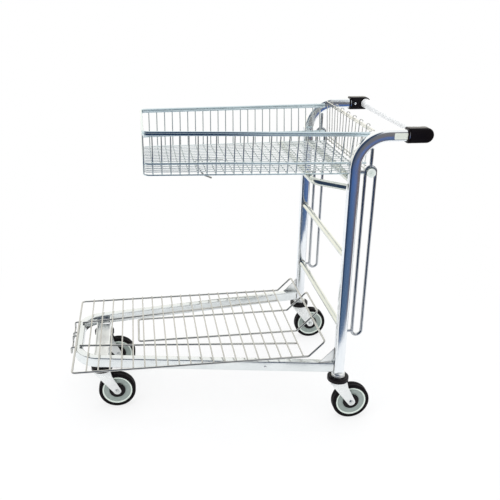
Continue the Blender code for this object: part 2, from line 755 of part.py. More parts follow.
def build_wheel(name, centre):
    """Hub, rim and tyre, each a turned piece about the axle."""
    half = TYRE_WIDE / 2
    bore = AXLE_R + 2 * GAP
    hub_profile = [
        (bore, half),
        (HUB_R - 0.003, half),
        (HUB_R, half - 0.0025),
        (SLEEVE_R, half - 0.0045),
        (SLEEVE_R, 0.0045 - half),
        (HUB_R, 0.0025 - half),
        (HUB_R - 0.003, -half),
        (bore, -half),
    ]
    rim_r = WHEEL_R - TYRE_DEEP
    web, flange = half - 0.0065, half - 0.002
    rim_profile = [
        (SLEEVE_R + GAP, web),
        (rim_r - 0.008, web),
        (rim_r - 0.003, flange),
        (rim_r - GAP, flange),
        (rim_r - GAP, -flange),
        (rim_r - 0.003, -flange),
        (rim_r - 0.008, -web),
        (SLEEVE_R + GAP, -web),
    ]
    tyre_profile = [
        (rim_r, half - 0.001),
        (rim_r + 0.004, half),
        (WHEEL_R - 0.004, half - 0.001),
        (WHEEL_R, half - 0.007),
        (WHEEL_R, 0.007 - half),
        (WHEEL_R - 0.004, 0.001 - half),
        (rim_r + 0.004, -half),
        (rim_r, 0.001 - half),
    ]
    pieces = (
        ("wheel_hub", hub_profile, 16, BLACK_PLASTIC),
        ("wheel_rim", rim_profile, 24, GREY_PLASTIC),
        ("tyre", tyre_profile, 24, RUBBER),
    )
    for piece, profile, sides, look in pieces:
        turned_piece = as_mesh(turned(profile, centre, axis="Y", sides=sides))
        place(set_origin(turned_piece, centre), f"{name}_{piece}", look)
        smooth(turned_piece)


# ---------------------------------------------------------------- the whole trolley
build_uprights()
build_chassis()
build_castor_bridge()
build_cross_bars()
build_basket_bow()
build_gussets()
build_rear_loops()
build_rail_bolts()
build_handle()
build_basket()
build_basket_catch()
build_gate()
build_deck()
for castor_side, castor_sign in SIDES.items():
    build_castor(f"front_{castor_side}", FRONT_PIVOT_X, castor_sign * FRONT_PIVOT_Y)
    build_castor(f"rear_{castor_side}", REAR_PIVOT_X, castor_sign * REAR_PIVOT_Y)

for part in PARTS.objects:
    part.location.x += ORIGIN_TO_UPRIGHTS
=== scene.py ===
"""Looks of the two-tier nesting shop trolley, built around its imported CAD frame.

All lengths are metres in the row frame: +X towards the push handle, +Z up, the origin on the floor.
Dimensions named ..._X count from the front faces of the uprights, and at_x() turns them into the
row frame.
"""

import math

import bpy
from mathutils import Matrix, Vector, noise


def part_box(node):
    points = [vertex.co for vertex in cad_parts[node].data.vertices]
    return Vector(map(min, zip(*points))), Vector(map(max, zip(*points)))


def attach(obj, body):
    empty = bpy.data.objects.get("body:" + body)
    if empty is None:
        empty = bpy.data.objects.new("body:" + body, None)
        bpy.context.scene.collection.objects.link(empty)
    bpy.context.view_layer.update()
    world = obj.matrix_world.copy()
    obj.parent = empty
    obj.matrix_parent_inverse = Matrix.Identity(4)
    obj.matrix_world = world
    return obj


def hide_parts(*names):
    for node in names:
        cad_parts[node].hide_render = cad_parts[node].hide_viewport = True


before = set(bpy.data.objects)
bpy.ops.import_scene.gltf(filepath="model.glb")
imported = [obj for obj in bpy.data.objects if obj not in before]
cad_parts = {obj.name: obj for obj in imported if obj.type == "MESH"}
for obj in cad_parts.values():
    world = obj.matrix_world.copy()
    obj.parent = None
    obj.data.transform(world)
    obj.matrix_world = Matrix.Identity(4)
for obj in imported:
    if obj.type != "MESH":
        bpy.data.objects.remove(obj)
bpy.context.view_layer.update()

# ---------------------------------------------------------------- dimensions
SIDES = {"left": -1, "right": 1}
GAP = 0.0003
UP = Vector((0, 0, 1))
ACROSS = Vector((0, 1, 0))

UPRIGHT_LOW, UPRIGHT_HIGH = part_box("right_upright")
ZERO_X = UPRIGHT_LOW.x
TUBE_DEEP, TUBE_WIDE, TUBE_TALL = 0.034, 0.026, 0.035
TUBE_ROUND, TUBE_WALL = 0.007, 0.002
UPRIGHT_Y = UPRIGHT_HIGH.y - TUBE_WIDE / 2
FRAME_BOTTOM_Z = UPRIGHT_LOW.z
RAIL_TOP_Z = FRAME_BOTTOM_Z + TUBE_TALL
HANDLE_TUBE_Z = UPRIGHT_HIGH.z - TUBE_DEEP / 2
HANDLE_BEND_R = 0.097
BEND_START_Z = HANDLE_TUBE_Z - HANDLE_BEND_R

RAIL_OUTER_Y, RAIL_TAPER = 0.291, 0.158
CHASSIS_FRONT_X, CHASSIS_CORNER_R = -0.852, 0.085

BAR_R = 0.010
BOW_Z, BOW_REACH_X = 0.820, -0.098

LOOP_R = 0.005
LOOP_FRONT_X, LOOP_REAR_X = 0.051, 0.082
LOOP_BOTTOM_Z, LOOP_TOP_Z = 0.310, 0.868

CAP_MOUTH_X, CAP_END_X = 0.168, 0.244
CAP_TALL, CAP_WIDE = 0.044, 0.034
GRIP_R, GRIP_X, GRIP_SOCKET = 0.0165, 0.224, 0.012

BASKET_FRONT_X, BASKET_REAR_X = -0.600, 0.068
BASKET_FLOOR_Z, BASKET_MID_Z, BASKET_RIM_Z = 0.8305, 0.8675, 0.964
BASKET_RIM_HALVES, BASKET_FLOOR_HALVES = (0.190, 0.257), (0.188, 0.229)  # front, rear
RIM_R, RAIL_R, EDGE_R, BASKET_WIRE_R = 0.0036, 0.0030, 0.0024, 0.0022
SIDE_WIRES, SIDE_PITCH, FLOOR_WIRES = 25, 0.0268, 17

GATE_PIVOT_X, GATE_PIVOT_Z = 0.076, 0.969
GATE_ROD_R, GATE_WIRE_R = 0.0027, 0.0015
GATE_HALF_TOP, GATE_HALF_BOTTOM, GATE_BOTTOM_Z = 0.243, 0.216, 0.842
GATE_TOP_ROD_Z, GATE_WIRES = 0.9635, 15

DECK_ROD_R, DECK_WIRE_R, HOOK_R = 0.0035, 0.0024, 0.0031
DECK_FRONT_X, DECK_REAR_X = -0.847, -0.080
DECK_HALF, DECK_LIP_RUN = 0.260, 0.052
DECK_INNER_HALF, DECK_INNER_FRONT_X, DECK_INNER_LIP_RUN = 0.082, -0.634, 0.072
DECK_WIRE_PITCH, DECK_WIRES = 0.037, 20
DECK_FRONT_Z, DECK_RISE = RAIL_TOP_Z + GAP + DECK_ROD_R, 0.0095

WHEEL_R, TYRE_WIDE, TYRE_DEEP = 0.0625, 0.030, 0.0115
HUB_R, AXLE_R, TRAIL = 0.0275, 0.004, 0.048
REAR_PIVOT_X, FRONT_PIVOT_X, FRONT_PIVOT_Y = TUBE_DEEP / 2, -0.762, 0.126
CUP_R, CUP_BOTTOM_Z = 0.022, 0.1505
BUFFER_R, BUFFER_BOTTOM_Z, BUFFER_TOP_Z = 0.0355, 0.144, 0.160
FORK_TOP_Z, FORK_PLATE, PIN_R = 0.1435, 0.003, 0.005


def at_x(x):
    return ZERO_X + x


def rail_outer_y(x):
    return RAIL_OUTER_Y + RAIL_TAPER * x


# ---------------------------------------------------------------- mesh tools
class Shape:
    """Points and faces of one piece, gathered from skins laid over stacks of rings."""

    def __init__(self):
        self.points, self.faces = [], []

    def skin(self, rings, closed=False):
        """Quads between successive rings. A stack that isn't closed on itself gets two end faces."""
        base, count, rows = len(self.points), len(rings[0]), len(rings)
        for ring in rings:
            self.points.extend(tuple(point) for point in ring)
        for row in range(rows if closed else rows - 1):
            low, high = base + row * count, base + (row + 1) % rows * count
            for spot in range(count):
                other = (spot + 1) % count
                self.faces.append((low + spot, low + other, high + other, high + spot))
        if not closed:
            last = base + (rows - 1) * count
            self.faces.append(tuple(range(base + count - 1, base - 1, -1)))
            self.faces.append(tuple(range(last, last + count)))
        return self


def finish_mesh(shape, name, look, body, replaces=(), sharp=35):
    """Makes the piece: a shaded mesh with its material that rides on a body and may stand for CAD nodes."""
    mesh = bpy.data.meshes.new(name)
    mesh.from_pydata(shape.points, [], shape.faces)
    mesh.validate()
    mesh.update()
    mesh.shade_smooth()
    mesh.set_sharp_from_angle(angle=math.radians(sharp))
    mesh.materials.append(look)
    return place(mesh, name, body, replaces)


def place(mesh, name, body, replaces=(), location=(0, 0, 0)):
    piece = bpy.data.objects.new(name, mesh)
    piece.location = location
    bpy.context.scene.collection.objects.link(piece)
    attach(piece, body)
    if replaces:
        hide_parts(*replaces)
    return piece


def arc(centre, radius, start, end, steps):
    """Points on a flat arc, angles in degrees."""
    angles = [math.radians(start + (end - start) * step / steps) for step in range(steps + 1)]
    return [(centre[0] + radius * math.cos(a), centre[1] + radius * math.sin(a)) for a in angles]


def fillet(before, corner, after, radius, steps):
    """Points of the arc that rounds off one corner of a path."""
    towards_before = (before - corner).normalized()
    towards_after = (after - corner).normalized()
    half = towards_before.angle(towards_after) / 2
    centre = corner + (towards_before + towards_after).normalized() * radius / math.sin(half)
    first = corner + towards_before * radius / math.tan(half) - centre
    last = corner + towards_after * radius / math.tan(half) - centre
    sweep = first.angle(last)
    points = []
    for step in range(steps + 1):
        share = step / steps
        mix = first * math.sin((1 - share) * sweep) + last * math.sin(share * sweep)
        points.append(centre + mix / math.sin(sweep))
    return points


def rounded_path(corners, radius, steps=6, closed=False):
    """A path through corners, each rounded to the same radius."""
    corners = [Vector(corner).to_3d() for corner in corners]
    count = len(corners)
    points = []
    for index, corner in enumerate(corners):
        if not closed and index in (0, count - 1):
            points.append(corner)
            continue
        before, after = corners[index - 1], corners[(index + 1) % count]
        points.extend(fillet(before, corner, after, radius, steps))
    return points


def tangents(path, closed):
    """Unit direction of travel at each point of a path."""
    found = []
    for index, point in enumerate(path):
        before = path[index - 1] if closed or index else point
        after = path[(index + 1) % len(path)] if closed or index < len(path) - 1 else point
        found.append((after - before).normalized())
    return found


def frames(path, closed=False, side=None):
    """(side, up) axes at each point, carried along the path with no needless twist."""
    ways = tangents(path, closed)
    if side is None:
        side = ways[0].orthogonal()
    axes = []
    for way in ways:
        side = (side - way * side.dot(way)).normalized()
        axes.append((side, way.cross(side)))
    return axes


def sweep(shape, path, section, side=None, closed=False, scales=None):
    """A solid with one cross-section along a path."""
    rings = []
    for index, (point, (across, up)) in enumerate(zip(path, frames(path, closed, side))):
        scale = scales[index] if scales else 1.0
        rings.append([point + (across * u + up * v) * scale for u, v in section])
    return shape.skin(rings, closed)


def circle(radius, sides):
    return [
        (radius * math.cos(2 * math.pi * k / sides), radius * math.sin(2 * math.pi * k / sides))
        for k in range(sides)
    ]


def rod(shape, path, radius, sides=12, closed=False):
    """A round rod. Its two ends are slightly domed."""
    path = [Vector(point).to_3d() for point in path]
    section = circle(radius, sides)
    if closed:
        return sweep(shape, path, section, closed=True)
    ways = tangents(path, False)
    start = [path[0], path[0] + ways[0] * radius * 0.12, path[0] + ways[0] * radius * 0.45]
    end = [path[-1] - ways[-1] * radius * 0.45, path[-1] - ways[-1] * radius * 0.12, path[-1]]
    scales = [0.62, 0.86, 1.0] + [1.0] * (len(path) - 2) + [1.0, 0.86, 0.62]
    return sweep(shape, start + path[1:-1] + end, section, scales=scales)


def tube(path, section, side, wall_share):
    """A tube with an open bore: the outer skin runs forward and the inner one back."""
    axes = frames(path, False, side)
    outer = [[p + a * u + b * v for u, v in section] for p, (a, b) in zip(path, axes)]
    inner = [
        [p + a * u * wall_share[0] + b * v * wall_share[1] for u, v in section]
        for p, (a, b) in zip(path, axes)
    ]
    return Shape().skin(outer + inner[::-1], closed=True)


def rounded_rectangle(wide, tall, radius, steps=5):
    """Closed outline, anticlockwise."""
    reach_u, reach_v = wide / 2 - radius, tall / 2 - radius
    points = []
    for quarter in range(4):
        centre_u = reach_u * (1 if quarter in (0, 3) else -1)
        centre_v = reach_v * (1 if quarter in (0, 1) else -1)
        points += arc((centre_u, centre_v), radius, 90 * quarter, 90 * (quarter + 1), steps)
    return points


def turned(shape, profile, centre, axis=UP, sides=64):
    """A closed or pole-to-pole (radius, height) profile spun about an axis."""
    centre, axis = Vector(centre), Vector(axis).normalized()
    u = axis.orthogonal().normalized()
    v = axis.cross(u)
    spokes = [
        u * math.cos(2 * math.pi * k / sides) + v * math.sin(2 * math.pi * k / sides)
        for k in range(sides)
    ]
    rings = [[centre + axis * h + spoke * r for spoke in spokes] for r, h in profile]
    return shape.skin(rings, closed=profile[0][0] > 0.001)


def offset_outline(outline, distance):
    """The outline moved inwards; it runs anticlockwise."""
    moved = []
    count = len(outline)
    for index in range(count):
        before, here, after = (Vector(outline[(index + k) % count]).to_2d() for k in (-1, 0, 1))
        one, two = (here - before).normalized(), (after - here).normalized()
        normal_one, normal_two = Vector((-one.y, one.x)), Vector((-two.y, two.x))
        bisector = (normal_one + normal_two).normalized()
        moved.append(here + bisector * distance / max(0.5, bisector.dot(normal_one)))
    return moved


def slab(shape, outline, thickness, to_world, edge=0.0006, steps=2):
    """A flat outline given thickness, its edges rounded. to_world maps (u, v, w), w across the slab."""
    rings = []
    for index in range(steps + 1):
        turn = math.pi / 2 * index / steps
        inset, rise = edge * (1 - math.sin(turn)), edge * (1 - math.cos(turn))
        rings.append((inset, -thickness / 2 + rise))
    rings += [(inset, -height) for inset, height in reversed(rings)]
    stack = [
        [Vector(to_world(p.x, p.y, height)) for p in offset_outline(outline, inset)]
        for inset, height in rings
    ]
    return shape.skin(stack)


def upright_plane(y, x_from=0.0):
    """Maps slab coordinates into a plane that faces along Y."""
    return lambda u, v, w: (at_x(x_from + u), y - w, v)


def bead(shape, path, radius, seed, sides=8):
    """A hand-laid weld: a low rod whose thickness ripples along its length."""
    path = [Vector(point) for point in path]
    length = sum((b - a).length for a, b in zip(path, path[1:]))
    count = max(6, int(length / 0.0011))
    points, scales = [], []
    for step in range(count + 1):
        share = step / count * (len(path) - 1)
        index = min(int(share), len(path) - 2)
        point = path[index].lerp(path[index + 1], share - index)
        wave = noise.noise(Vector((step * 0.55, seed, 0)))
        ends = min(1.0, 0.35 + 0.65 * min(step, count - step) / 2)
        points.append(point)
        scales.append(ends * (1 + 0.16 * math.sin(step * 1.9) + 0.25 * wave))
    return sweep(shape, points, circle(radius, sides), scales=scales)


# ---------------------------------------------------------------- materials
class Graph:
    """Short calls that build one node tree."""

    def __init__(self, tree):
        self.tree = tree

    def add(self, kind, inputs=None, **settings):
        node = self.tree.nodes.new(kind)
        for key, value in settings.items():
            setattr(node, key, value)
        for socket, value in (inputs or {}).items():
            if isinstance(value, bpy.types.NodeSocket):
                self.tree.links.new(value, node.inputs[socket])
            else:
                node.inputs[socket].default_value = value
        return node

    def noise(self, vector, scale, detail=3.0, roughness=0.55):
        inputs = {"Vector": vector, "Scale": scale, "Detail": detail, "Roughness": roughness}
        return self.add("ShaderNodeTexNoise", inputs).outputs["Fac"]

    def fit(self, value, low, high, to_low=0.0, to_high=1.0, smooth=False):
        inputs = {"Value": value, "From Min": low, "From Max": high, "To Min": to_low, "To Max": to_high}
        kind = "SMOOTHSTEP" if smooth else "LINEAR"
        return self.add("ShaderNodeMapRange", inputs, interpolation_type=kind).outputs["Result"]

    def mix(self, share, first, second):
        node = self.add("ShaderNodeMix", data_type="RGBA")
        for socket, value in ((0, share), (6, first), (7, second)):
            if isinstance(value, bpy.types.NodeSocket):
                self.tree.links.new(value, node.inputs[socket])
            elif socket:
                node.inputs[socket].default_value = (*value, 1.0)
            else:
                node.inputs[socket].default_value = value
        return node.outputs[2]

    def math(self, operation, first, second=0.0):
        return self.add("ShaderNodeMath", {0: first, 1: second}, operation=operation).outputs[0]

    def bump(self, height, strength, distance):
        inputs = {"Height": height, "Strength": strength, "Distance": distance}
        return self.add("ShaderNodeBump", inputs).outputs["Normal"]


def new_look(name):
    look = bpy.data.materials.new(name)
    look.use_nodes = True
    graph = Graph(look.node_tree)
    shader = look.node_tree.nodes["Principled BSDF"]
    coords = graph.add("ShaderNodeTexCoord").outputs["Object"]
    return look, graph, shader, coords


def connect(graph, shader, colour=None, roughness=None, normal=None, metallic=0.0):
    shader.inputs["Metallic"].default_value = metallic
    for socket, value in (("Base Color", colour), ("Roughness", roughness), ("Normal", normal)):
        if value is not None:
            graph.tree.links.new(value, shader.inputs[socket])


def metal(name, colour, tarnish, roughness, grain=(1, 1, 1), spangle=0.0, streak=0.35):
    """Plated steel: faint drawn streaks along the grain, cloudy tarnish, and spangle if hot-dipped."""
    look, graph, shader, coords = new_look(name)
    clouds = graph.noise(coords, 11.0, 4.0)
    mapped = graph.add("ShaderNodeMapping", {"Vector": coords, "Scale": grain}).outputs["Vector"]
    streaks = graph.noise(mapped, 160.0, 3.0, 0.6)
    fine = graph.noise(coords, 900.0, 2.0)
    tone = graph.fit(clouds, 0.30, 0.72, 0.0, 0.75)
    paint = graph.mix(tone, colour, tarnish)
    if spangle:
        cells = graph.add("ShaderNodeTexVoronoi", {"Vector": coords, "Scale": 95.0}).outputs["Color"]
        cell_tone = graph.add("ShaderNodeSeparateColor", {"Color": cells}).outputs[0]
        paint = graph.mix(graph.fit(cell_tone, 0.0, 1.0, 0.0, spangle), paint, tarnish)
    rough = graph.fit(clouds, 0.25, 0.75, roughness * 0.75, roughness * 1.3)
    rough = graph.math("ADD", rough, graph.fit(streaks, 0.35, 0.7, -0.03, 0.05))
    relief = graph.math("ADD", graph.math("MULTIPLY", streaks, streak), graph.math("MULTIPLY", fine, 0.12))
    connect(graph, shader, paint, rough, graph.bump(relief, 0.22, 0.0006), metallic=1.0)
    return look


def moulding(name, colour, shade, roughness, grain_scale, grain_depth, sheen=0.5):
    """A moulded polymer with a fine cast grain, a little cloudiness and a paler colour on its sharp convex edges."""
    look, graph, shader, coords = new_look(name)
    clouds = graph.noise(coords, 24.0, 4.0)
    grain = graph.noise(coords, grain_scale, 4.0, 0.65)
    convexity = graph.add("ShaderNodeNewGeometry").outputs["Pointiness"]
    edge_pale_share = graph.fit(convexity, 0.515, 0.60, 0.0, 0.55, smooth=True)
    paint = graph.mix(graph.fit(clouds, 0.3, 0.7), colour, shade)
    lighter = tuple(min(1.0, part * 1.6 + 0.006) for part in colour)
    # Sharp convex edges are made paler.
    paint = graph.mix(edge_pale_share, paint, lighter)
    rough = graph.math("ADD", graph.fit(clouds, 0.3, 0.7, roughness - 0.06, roughness + 0.06), 0.0)
    rough = graph.math("ADD", rough, graph.fit(grain, 0.3, 0.7, -0.05, 0.05))
    shader.inputs["Specular IOR Level"].default_value = sheen
    connect(graph, shader, paint, rough, graph.bump(grain, 0.35, grain_depth))
    return look


def wheel_plastic(name, disc, lip_highlight, flange_r):
    """Moulded wheel disc whose outer flange, beyond a radius about the axle, is painted paler: a painted highlight on
    the rim's lip.
    """
    look, graph, shader, coords = new_look(name)
    flat = graph.add("ShaderNodeVectorMath", {0: coords, 1: (1, 0, 1)}, operation="MULTIPLY").outputs["Vector"]
    reach = graph.add("ShaderNodeVectorMath", {0: flat}, operation="LENGTH").outputs["Value"]
    cloudy = graph.mix(graph.fit(graph.noise(coords, 24.0, 4.0), 0.3, 0.7), disc, tuple(0.84 * part for part in disc))
    # Past flange_r the colour turns to the painted lip highlight.
    paint = graph.mix(graph.fit(reach, flange_r - 0.0006, flange_r + 0.0004), cloudy, lip_highlight)
    grain = graph.noise(coords, 320.0, 4.0, 0.65)
    connect(graph, shader, paint, graph.fit(grain, 0.3, 0.7, 0.36, 0.48), graph.bump(grain, 0.35, 0.0005))
    return look


ALONG_Z, ALONG_X, ALONG_Y = (1, 1, 0.03), (0.03, 1, 1), (1, 0.03, 1)
ZINC_TONE, ZINC_TARNISH = (0.86, 0.885, 0.90), (0.77, 0.80, 0.82)
ZINC_TALL = metal("bright_zinc_drawn_tall", ZINC_TONE, ZINC_TARNISH, 0.12, ALONG_Z)
ZINC_CROSS = metal("bright_zinc_drawn_across", (0.72, 0.745, 0.69), (0.60, 0.63, 0.58), 0.14, ALONG_Y)
ZINC_PART = metal("bright_zinc_fitting", ZINC_TONE, (0.56, 0.57, 0.55), 0.20)
GALVANISED_LONG = metal(
    "galvanised_drawn_long", (0.79, 0.82, 0.82), (0.69, 0.72, 0.72), 0.20, ALONG_X, spangle=0.25
)
GALVANISED = metal("galvanised_pressed", (0.88, 0.89, 0.88), (0.76, 0.78, 0.77), 0.30, spangle=0.35)
WELD_METAL = metal("weld_bead", (0.42, 0.41, 0.39), (0.27, 0.25, 0.23), 0.40)
CHROME = metal("chrome_wire", (0.84, 0.84, 0.79), (0.74, 0.74, 0.70), 0.10, streak=0.1)
BASKET_STEEL = metal("basket_wire_cool", (0.80, 0.84, 0.84), (0.70, 0.74, 0.74), 0.10, streak=0.1)
RIM_STEEL = metal("basket_rim_cool", (0.62, 0.72, 0.76), (0.54, 0.64, 0.68), 0.10, streak=0.1)
BLACK = moulding("black_plastic", (0.004, 0.003, 0.004), (0.007, 0.005, 0.006), 0.26, 700.0, 0.0003, 0.14)
RUBBER = moulding("black_rubber", (0.005, 0.004, 0.005), (0.009, 0.007, 0.008), 0.55, 420.0, 0.0005, 0.08)
BUSH = moulding("pale_bush", (0.66, 0.73, 0.67), (0.58, 0.65, 0.60), 0.35, 320.0, 0.0003)
DARK_ROD = metal("dull_zinc_rod", (0.52, 0.54, 0.56), (0.43, 0.45, 0.47), 0.16, ALONG_Z)
DECK_STEEL = metal("deck_wire_grey", (0.56, 0.555, 0.52), (0.48, 0.475, 0.45), 0.16, streak=0.1)
DECK_RODS = metal("deck_rod_grey", (0.55, 0.55, 0.53), (0.46, 0.46, 0.44), 0.14, streak=0.1)
CATCH_STEEL = metal("catch_wire_grey", (0.40, 0.40, 0.38), (0.32, 0.32, 0.30), 0.16, streak=0.1)
# The second colour is the painted highlight on the rim's outer lip.
RIM_PLASTIC = wheel_plastic("grey_green_plastic", (0.36, 0.42, 0.39), (0.80, 0.88, 0.80), 0.0456)
WHITE = moulding("white_plastic", (0.95, 0.955, 0.955), (0.90, 0.91, 0.91), 0.30, 240.0, 0.0003)
LABEL = moulding("blank_label", (0.56, 0.60, 0.54), (0.64, 0.66, 0.60), 0.40, 500.0, 0.0002)

# ---------------------------------------------------------------- frame tubes
def build_uprights():
    section = rounded_rectangle(TUBE_DEEP, TUBE_WIDE, TUBE_ROUND)
    centre_x = TUBE_DEEP / 2
    bend = arc((centre_x + HANDLE_BEND_R, BEND_START_Z), HANDLE_BEND_R, 180, 90, 28)
    flat = [(centre_x, FRAME_BOTTOM_Z), *bend, (CAP_MOUTH_X + 0.012, HANDLE_TUBE_Z)]
    wall = (1 - 2 * TUBE_WALL / TUBE_DEEP, 1 - 2 * TUBE_WALL / TUBE_WIDE)
    for name, sign in SIDES.items():
        path = [Vector((at_x(x), sign * UPRIGHT_Y, z)) for x, z in flat]
        shape = tube(path, section, Vector((1, 0, 0)), wall)
        finish_mesh(shape, f"{name}_upright_tube", ZINC_TALL, "frame", [f"{name}_upright"])


def build_chassis():
    half = TUBE_WIDE / 2
    front, rear = CHASSIS_FRONT_X + half, -GAP
    corners = [
        (at_x(rear), rail_outer_y(rear) - half),
        (at_x(front), rail_outer_y(front) - half),
        (at_x(front), half - rail_outer_y(front)),
        (at_x(rear), half - rail_outer_y(rear)),
    ]
    path = rounded_path(corners, CHASSIS_CORNER_R, steps=20)
    path = [point + UP * (FRAME_BOTTOM_Z + TUBE_TALL / 2) for point in path]
    wall = (1 - 2 * TUBE_WALL / TUBE_WIDE, 1 - 2 * TUBE_WALL / TUBE_TALL)
    section = rounded_rectangle(TUBE_WIDE, TUBE_TALL, 0.0035)
    shape = tube(path, section, ACROSS, wall)
    finish_mesh(shape, "chassis_tube", GALVANISED_LONG, "frame", ["chassis_rail"])


def ribbon(path, thickness):
    """Closed outline of a bent sheet: the path, and the same path moved across by the thickness."""
    points = [Vector(point).to_2d() for point in path]
    far = []
    for index, point in enumerate(points):
        before, after = points[max(index - 1, 0)], points[min(index + 1, len(points) - 1)]
        way = (after - before).normalized()
        far.append(point + Vector((-way.y, way.x)) * thickness)
    return points + far[::-1]


def build_castor_bridge():
    low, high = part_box("front_castor_bridge")
    sheet, fold = 0.003, 0.005
    corners = [
        (low.x, high.z - 0.012),
        (low.x, low.z),
        (high.x, low.z),
        (high.x, high.z),
    ]
    path = [(p.x, p.y) for p in rounded_path(corners, fold, steps=5)]
    outline = ribbon(path, sheet)
    ends = [(low.y, 0.0006), (low.y + 0.0006, 0), (high.y - 0.0006, 0), (high.y, 0.0006)]
    rings = [
        [Vector((p.x, y, p.y)) for p in offset_outline(outline, inset)] for y, inset in ends
    ]
    shape = Shape().skin([ring[::-1] for ring in rings])
    finish_mesh(
        shape, "castor_bridge_plate", GALVANISED, "frame", ["front_castor_bridge"]
    )


def build_cross_bars():
    for node in ("lower_cross_bar", "upper_cross_bar", "basket_cross_bar"):
        low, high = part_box(node)
        middle = (low + high) / 2
        ends = [(middle.x, low.y, middle.z), (middle.x, high.y, middle.z)]
        shape = Shape().skin(
            [
                [Vector((middle.x + u, y, middle.z - v)) for u, v in circle(BAR_R, 40)]
                for y in (ends[0][1], ends[1][1])
            ]
        )
        finish_mesh(shape, f"{node}_tube", ZINC_CROSS, "frame", [node])


def build_bow():
    start_y = UPRIGHT_Y - 0.003
    corner_y, start_z = 0.255, BOW_Z - 0.014
    corners = [
        (at_x(-0.0033), -start_y, start_z),
        (at_x(BOW_REACH_X), -corner_y, BOW_Z),
        (at_x(BOW_REACH_X), corner_y, BOW_Z),
        (at_x(-0.0033), start_y, start_z),
    ]
    path = rounded_path(corners, 0.032, steps=16)
    shape = sweep(Shape(), path, circle(BAR_R, 28))
    finish_mesh(
        shape, "basket_support_tube", ZINC_CROSS, "frame", ["basket_support_bow"], 50
    )


def build_gussets():
    for name, sign in SIDES.items():
        low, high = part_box(f"{name}_gusset")
        y = (low.y + high.y) / 2
        corners = [(high.x, low.z), (high.x, high.z), (low.x, low.z)]
        corners = [(x - ZERO_X, z) for x, z in corners]
        outline = []
        for index in range(3):
            before, here, after = (Vector(corners[(index + k) % 3]).to_3d() for k in (-1, 0, 1))
            outline += [tuple(p.to_2d()) for p in fillet(before, here, after, 0.0025, 4)]
        shape = slab(Shape(), outline, high.y - low.y, upright_plane(y))
        finish_mesh(shape, f"{name}_gusset_plate", GALVANISED, "frame", [f"{name}_gusset"])


def build_frame_welds():
    """Beads where the cross bars, the rails and the gussets meet the uprights."""
    shape = Shape()
    seed = 1.0
    inner_y = UPRIGHT_Y - TUBE_WIDE / 2
    for sign in SIDES.values():
        for node in ("lower_cross_bar", "upper_cross_bar", "basket_cross_bar"):
            low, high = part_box(node)
            x, z = (low.x + high.x) / 2, (low.z + high.z) / 2
            ring = [
                (x + u, sign * (inner_y - 0.0008), z + v) for u, v in circle(BAR_R + 0.0006, 24)
            ]
            bead(shape, ring + ring[:1], 0.0017, seed)
            seed += 1
        front_x = ZERO_X - 0.0004
        rail_y = sign * rail_outer_y(0)
        for y in (rail_y, rail_y - sign * TUBE_WIDE):
            low_z, high_z = FRAME_BOTTOM_Z + 0.006, RAIL_TOP_Z - 0.006
            if abs(y) < UPRIGHT_HIGH.y:
                bead(shape, [(front_x, y, low_z), (front_x, y, high_z)], 0.0017, seed)
            seed += 1
        gusset_low, gusset_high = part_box("right_gusset" if sign > 0 else "left_gusset")
        for y in (gusset_low.y, gusset_high.y):
            bead(shape, [(front_x, y, gusset_low.z + 0.01), (front_x, y, gusset_high.z)], 0.0013, seed)
            seed += 1
            bead(
                shape,
                [(gusset_low.x, y, RAIL_TOP_Z), (gusset_high.x - 0.012, y, RAIL_TOP_Z)],
                0.0013,
                seed,
            )
            seed += 1
    finish_mesh(shape, "frame_welds", WELD_METAL, "frame", sharp=60)


def build_loops():
    middle_x = (LOOP_FRONT_X + LOOP_REAR_X) / 2
    turn_r = (LOOP_REAR_X - LOOP_FRONT_X) / 2
    top, bottom = LOOP_TOP_Z - turn_r, LOOP_BOTTOM_Z + turn_r
    flat = arc((middle_x, top), turn_r, 0, 180, 16) + arc((middle_x, bottom), turn_r, 180, 360, 16)
    rear_face = TUBE_DEEP
    bend_inner_r = HANDLE_BEND_R - TUBE_DEEP / 2
    offset = TUBE_DEEP / 2 + HANDLE_BEND_R - middle_x + LOOP_R
    strut_top = BEND_START_Z + math.sqrt(bend_inner_r**2 - offset**2)
    for name, sign in SIDES.items():
        y = sign * UPRIGHT_Y
        shape = Shape()
        rod(shape, [(at_x(x), y, z) for x, z in flat], LOOP_R, sides=18, closed=True)
        rod(shape, [(at_x(middle_x), y, LOOP_TOP_Z - 0.003), (at_x(middle_x), y, strut_top)], LOOP_R, 18)
        for z in (bottom, top + 0.001):
            strap = rounded_rectangle(0.008, 0.008, 0.0015, 2)
            ends = [Vector((at_x(rear_face), y, z)), Vector((at_x(LOOP_FRONT_X), y, z))]
            sweep(shape, ends, strap, side=ACROSS)
        finish_mesh(shape, f"{name}_loop_rods", DARK_ROD, "frame", [f"{name}_rear_loop"], 50)
        build_spool(name, at_x(middle_x), y, top - 0.002)


def build_spool(name, x, y, z):
    """A flanged bush with a countersunk screw in each face."""
    half, radius = 0.0115, 0.0135
    profile = [
        (0.0, half - 0.0022),
        (0.0028, half - 0.0020),
        (0.0042, half - 0.0006),
        (0.0052, half),
        (radius - 0.001, half),
        (radius, half - 0.001),
        (radius, half - 0.0035),
        (radius - 0.0035, half - 0.005),
    ]
    mirrored = [(r, -h) for r, h in profile]
    shape = turned(Shape(), mirrored + profile[::-1], (x, y, z), ACROSS, 40)
    finish_mesh(shape, f"{name}_loop_bush", BUSH, "frame", [f"{name}_loop_spool"])


def hexagon_head(shape, centre, axis, radius, height):
    """A chamfered hexagon bolt head whose base is at the centre."""
    centre, axis = Vector(centre), Vector(axis).normalized()
    u = axis.orthogonal().normalized()
    v = axis.cross(u)
    rings = []
    for lift, cut in ((0.0, 1.0), (height * 0.75, 1.0), (height, 0.84)):
        ring = []
        for k in range(24):
            angle = 2 * math.pi * k / 24
            flat = math.cos(math.pi / 6) / math.cos(angle % (math.pi / 3) - math.pi / 6)
            reach = min(flat, cut) if cut < 1 else flat
            ring.append(centre + axis * lift + (u * math.cos(angle) + v * math.sin(angle)) * radius * reach)
        rings.append(ring)
    return shape.skin(rings)


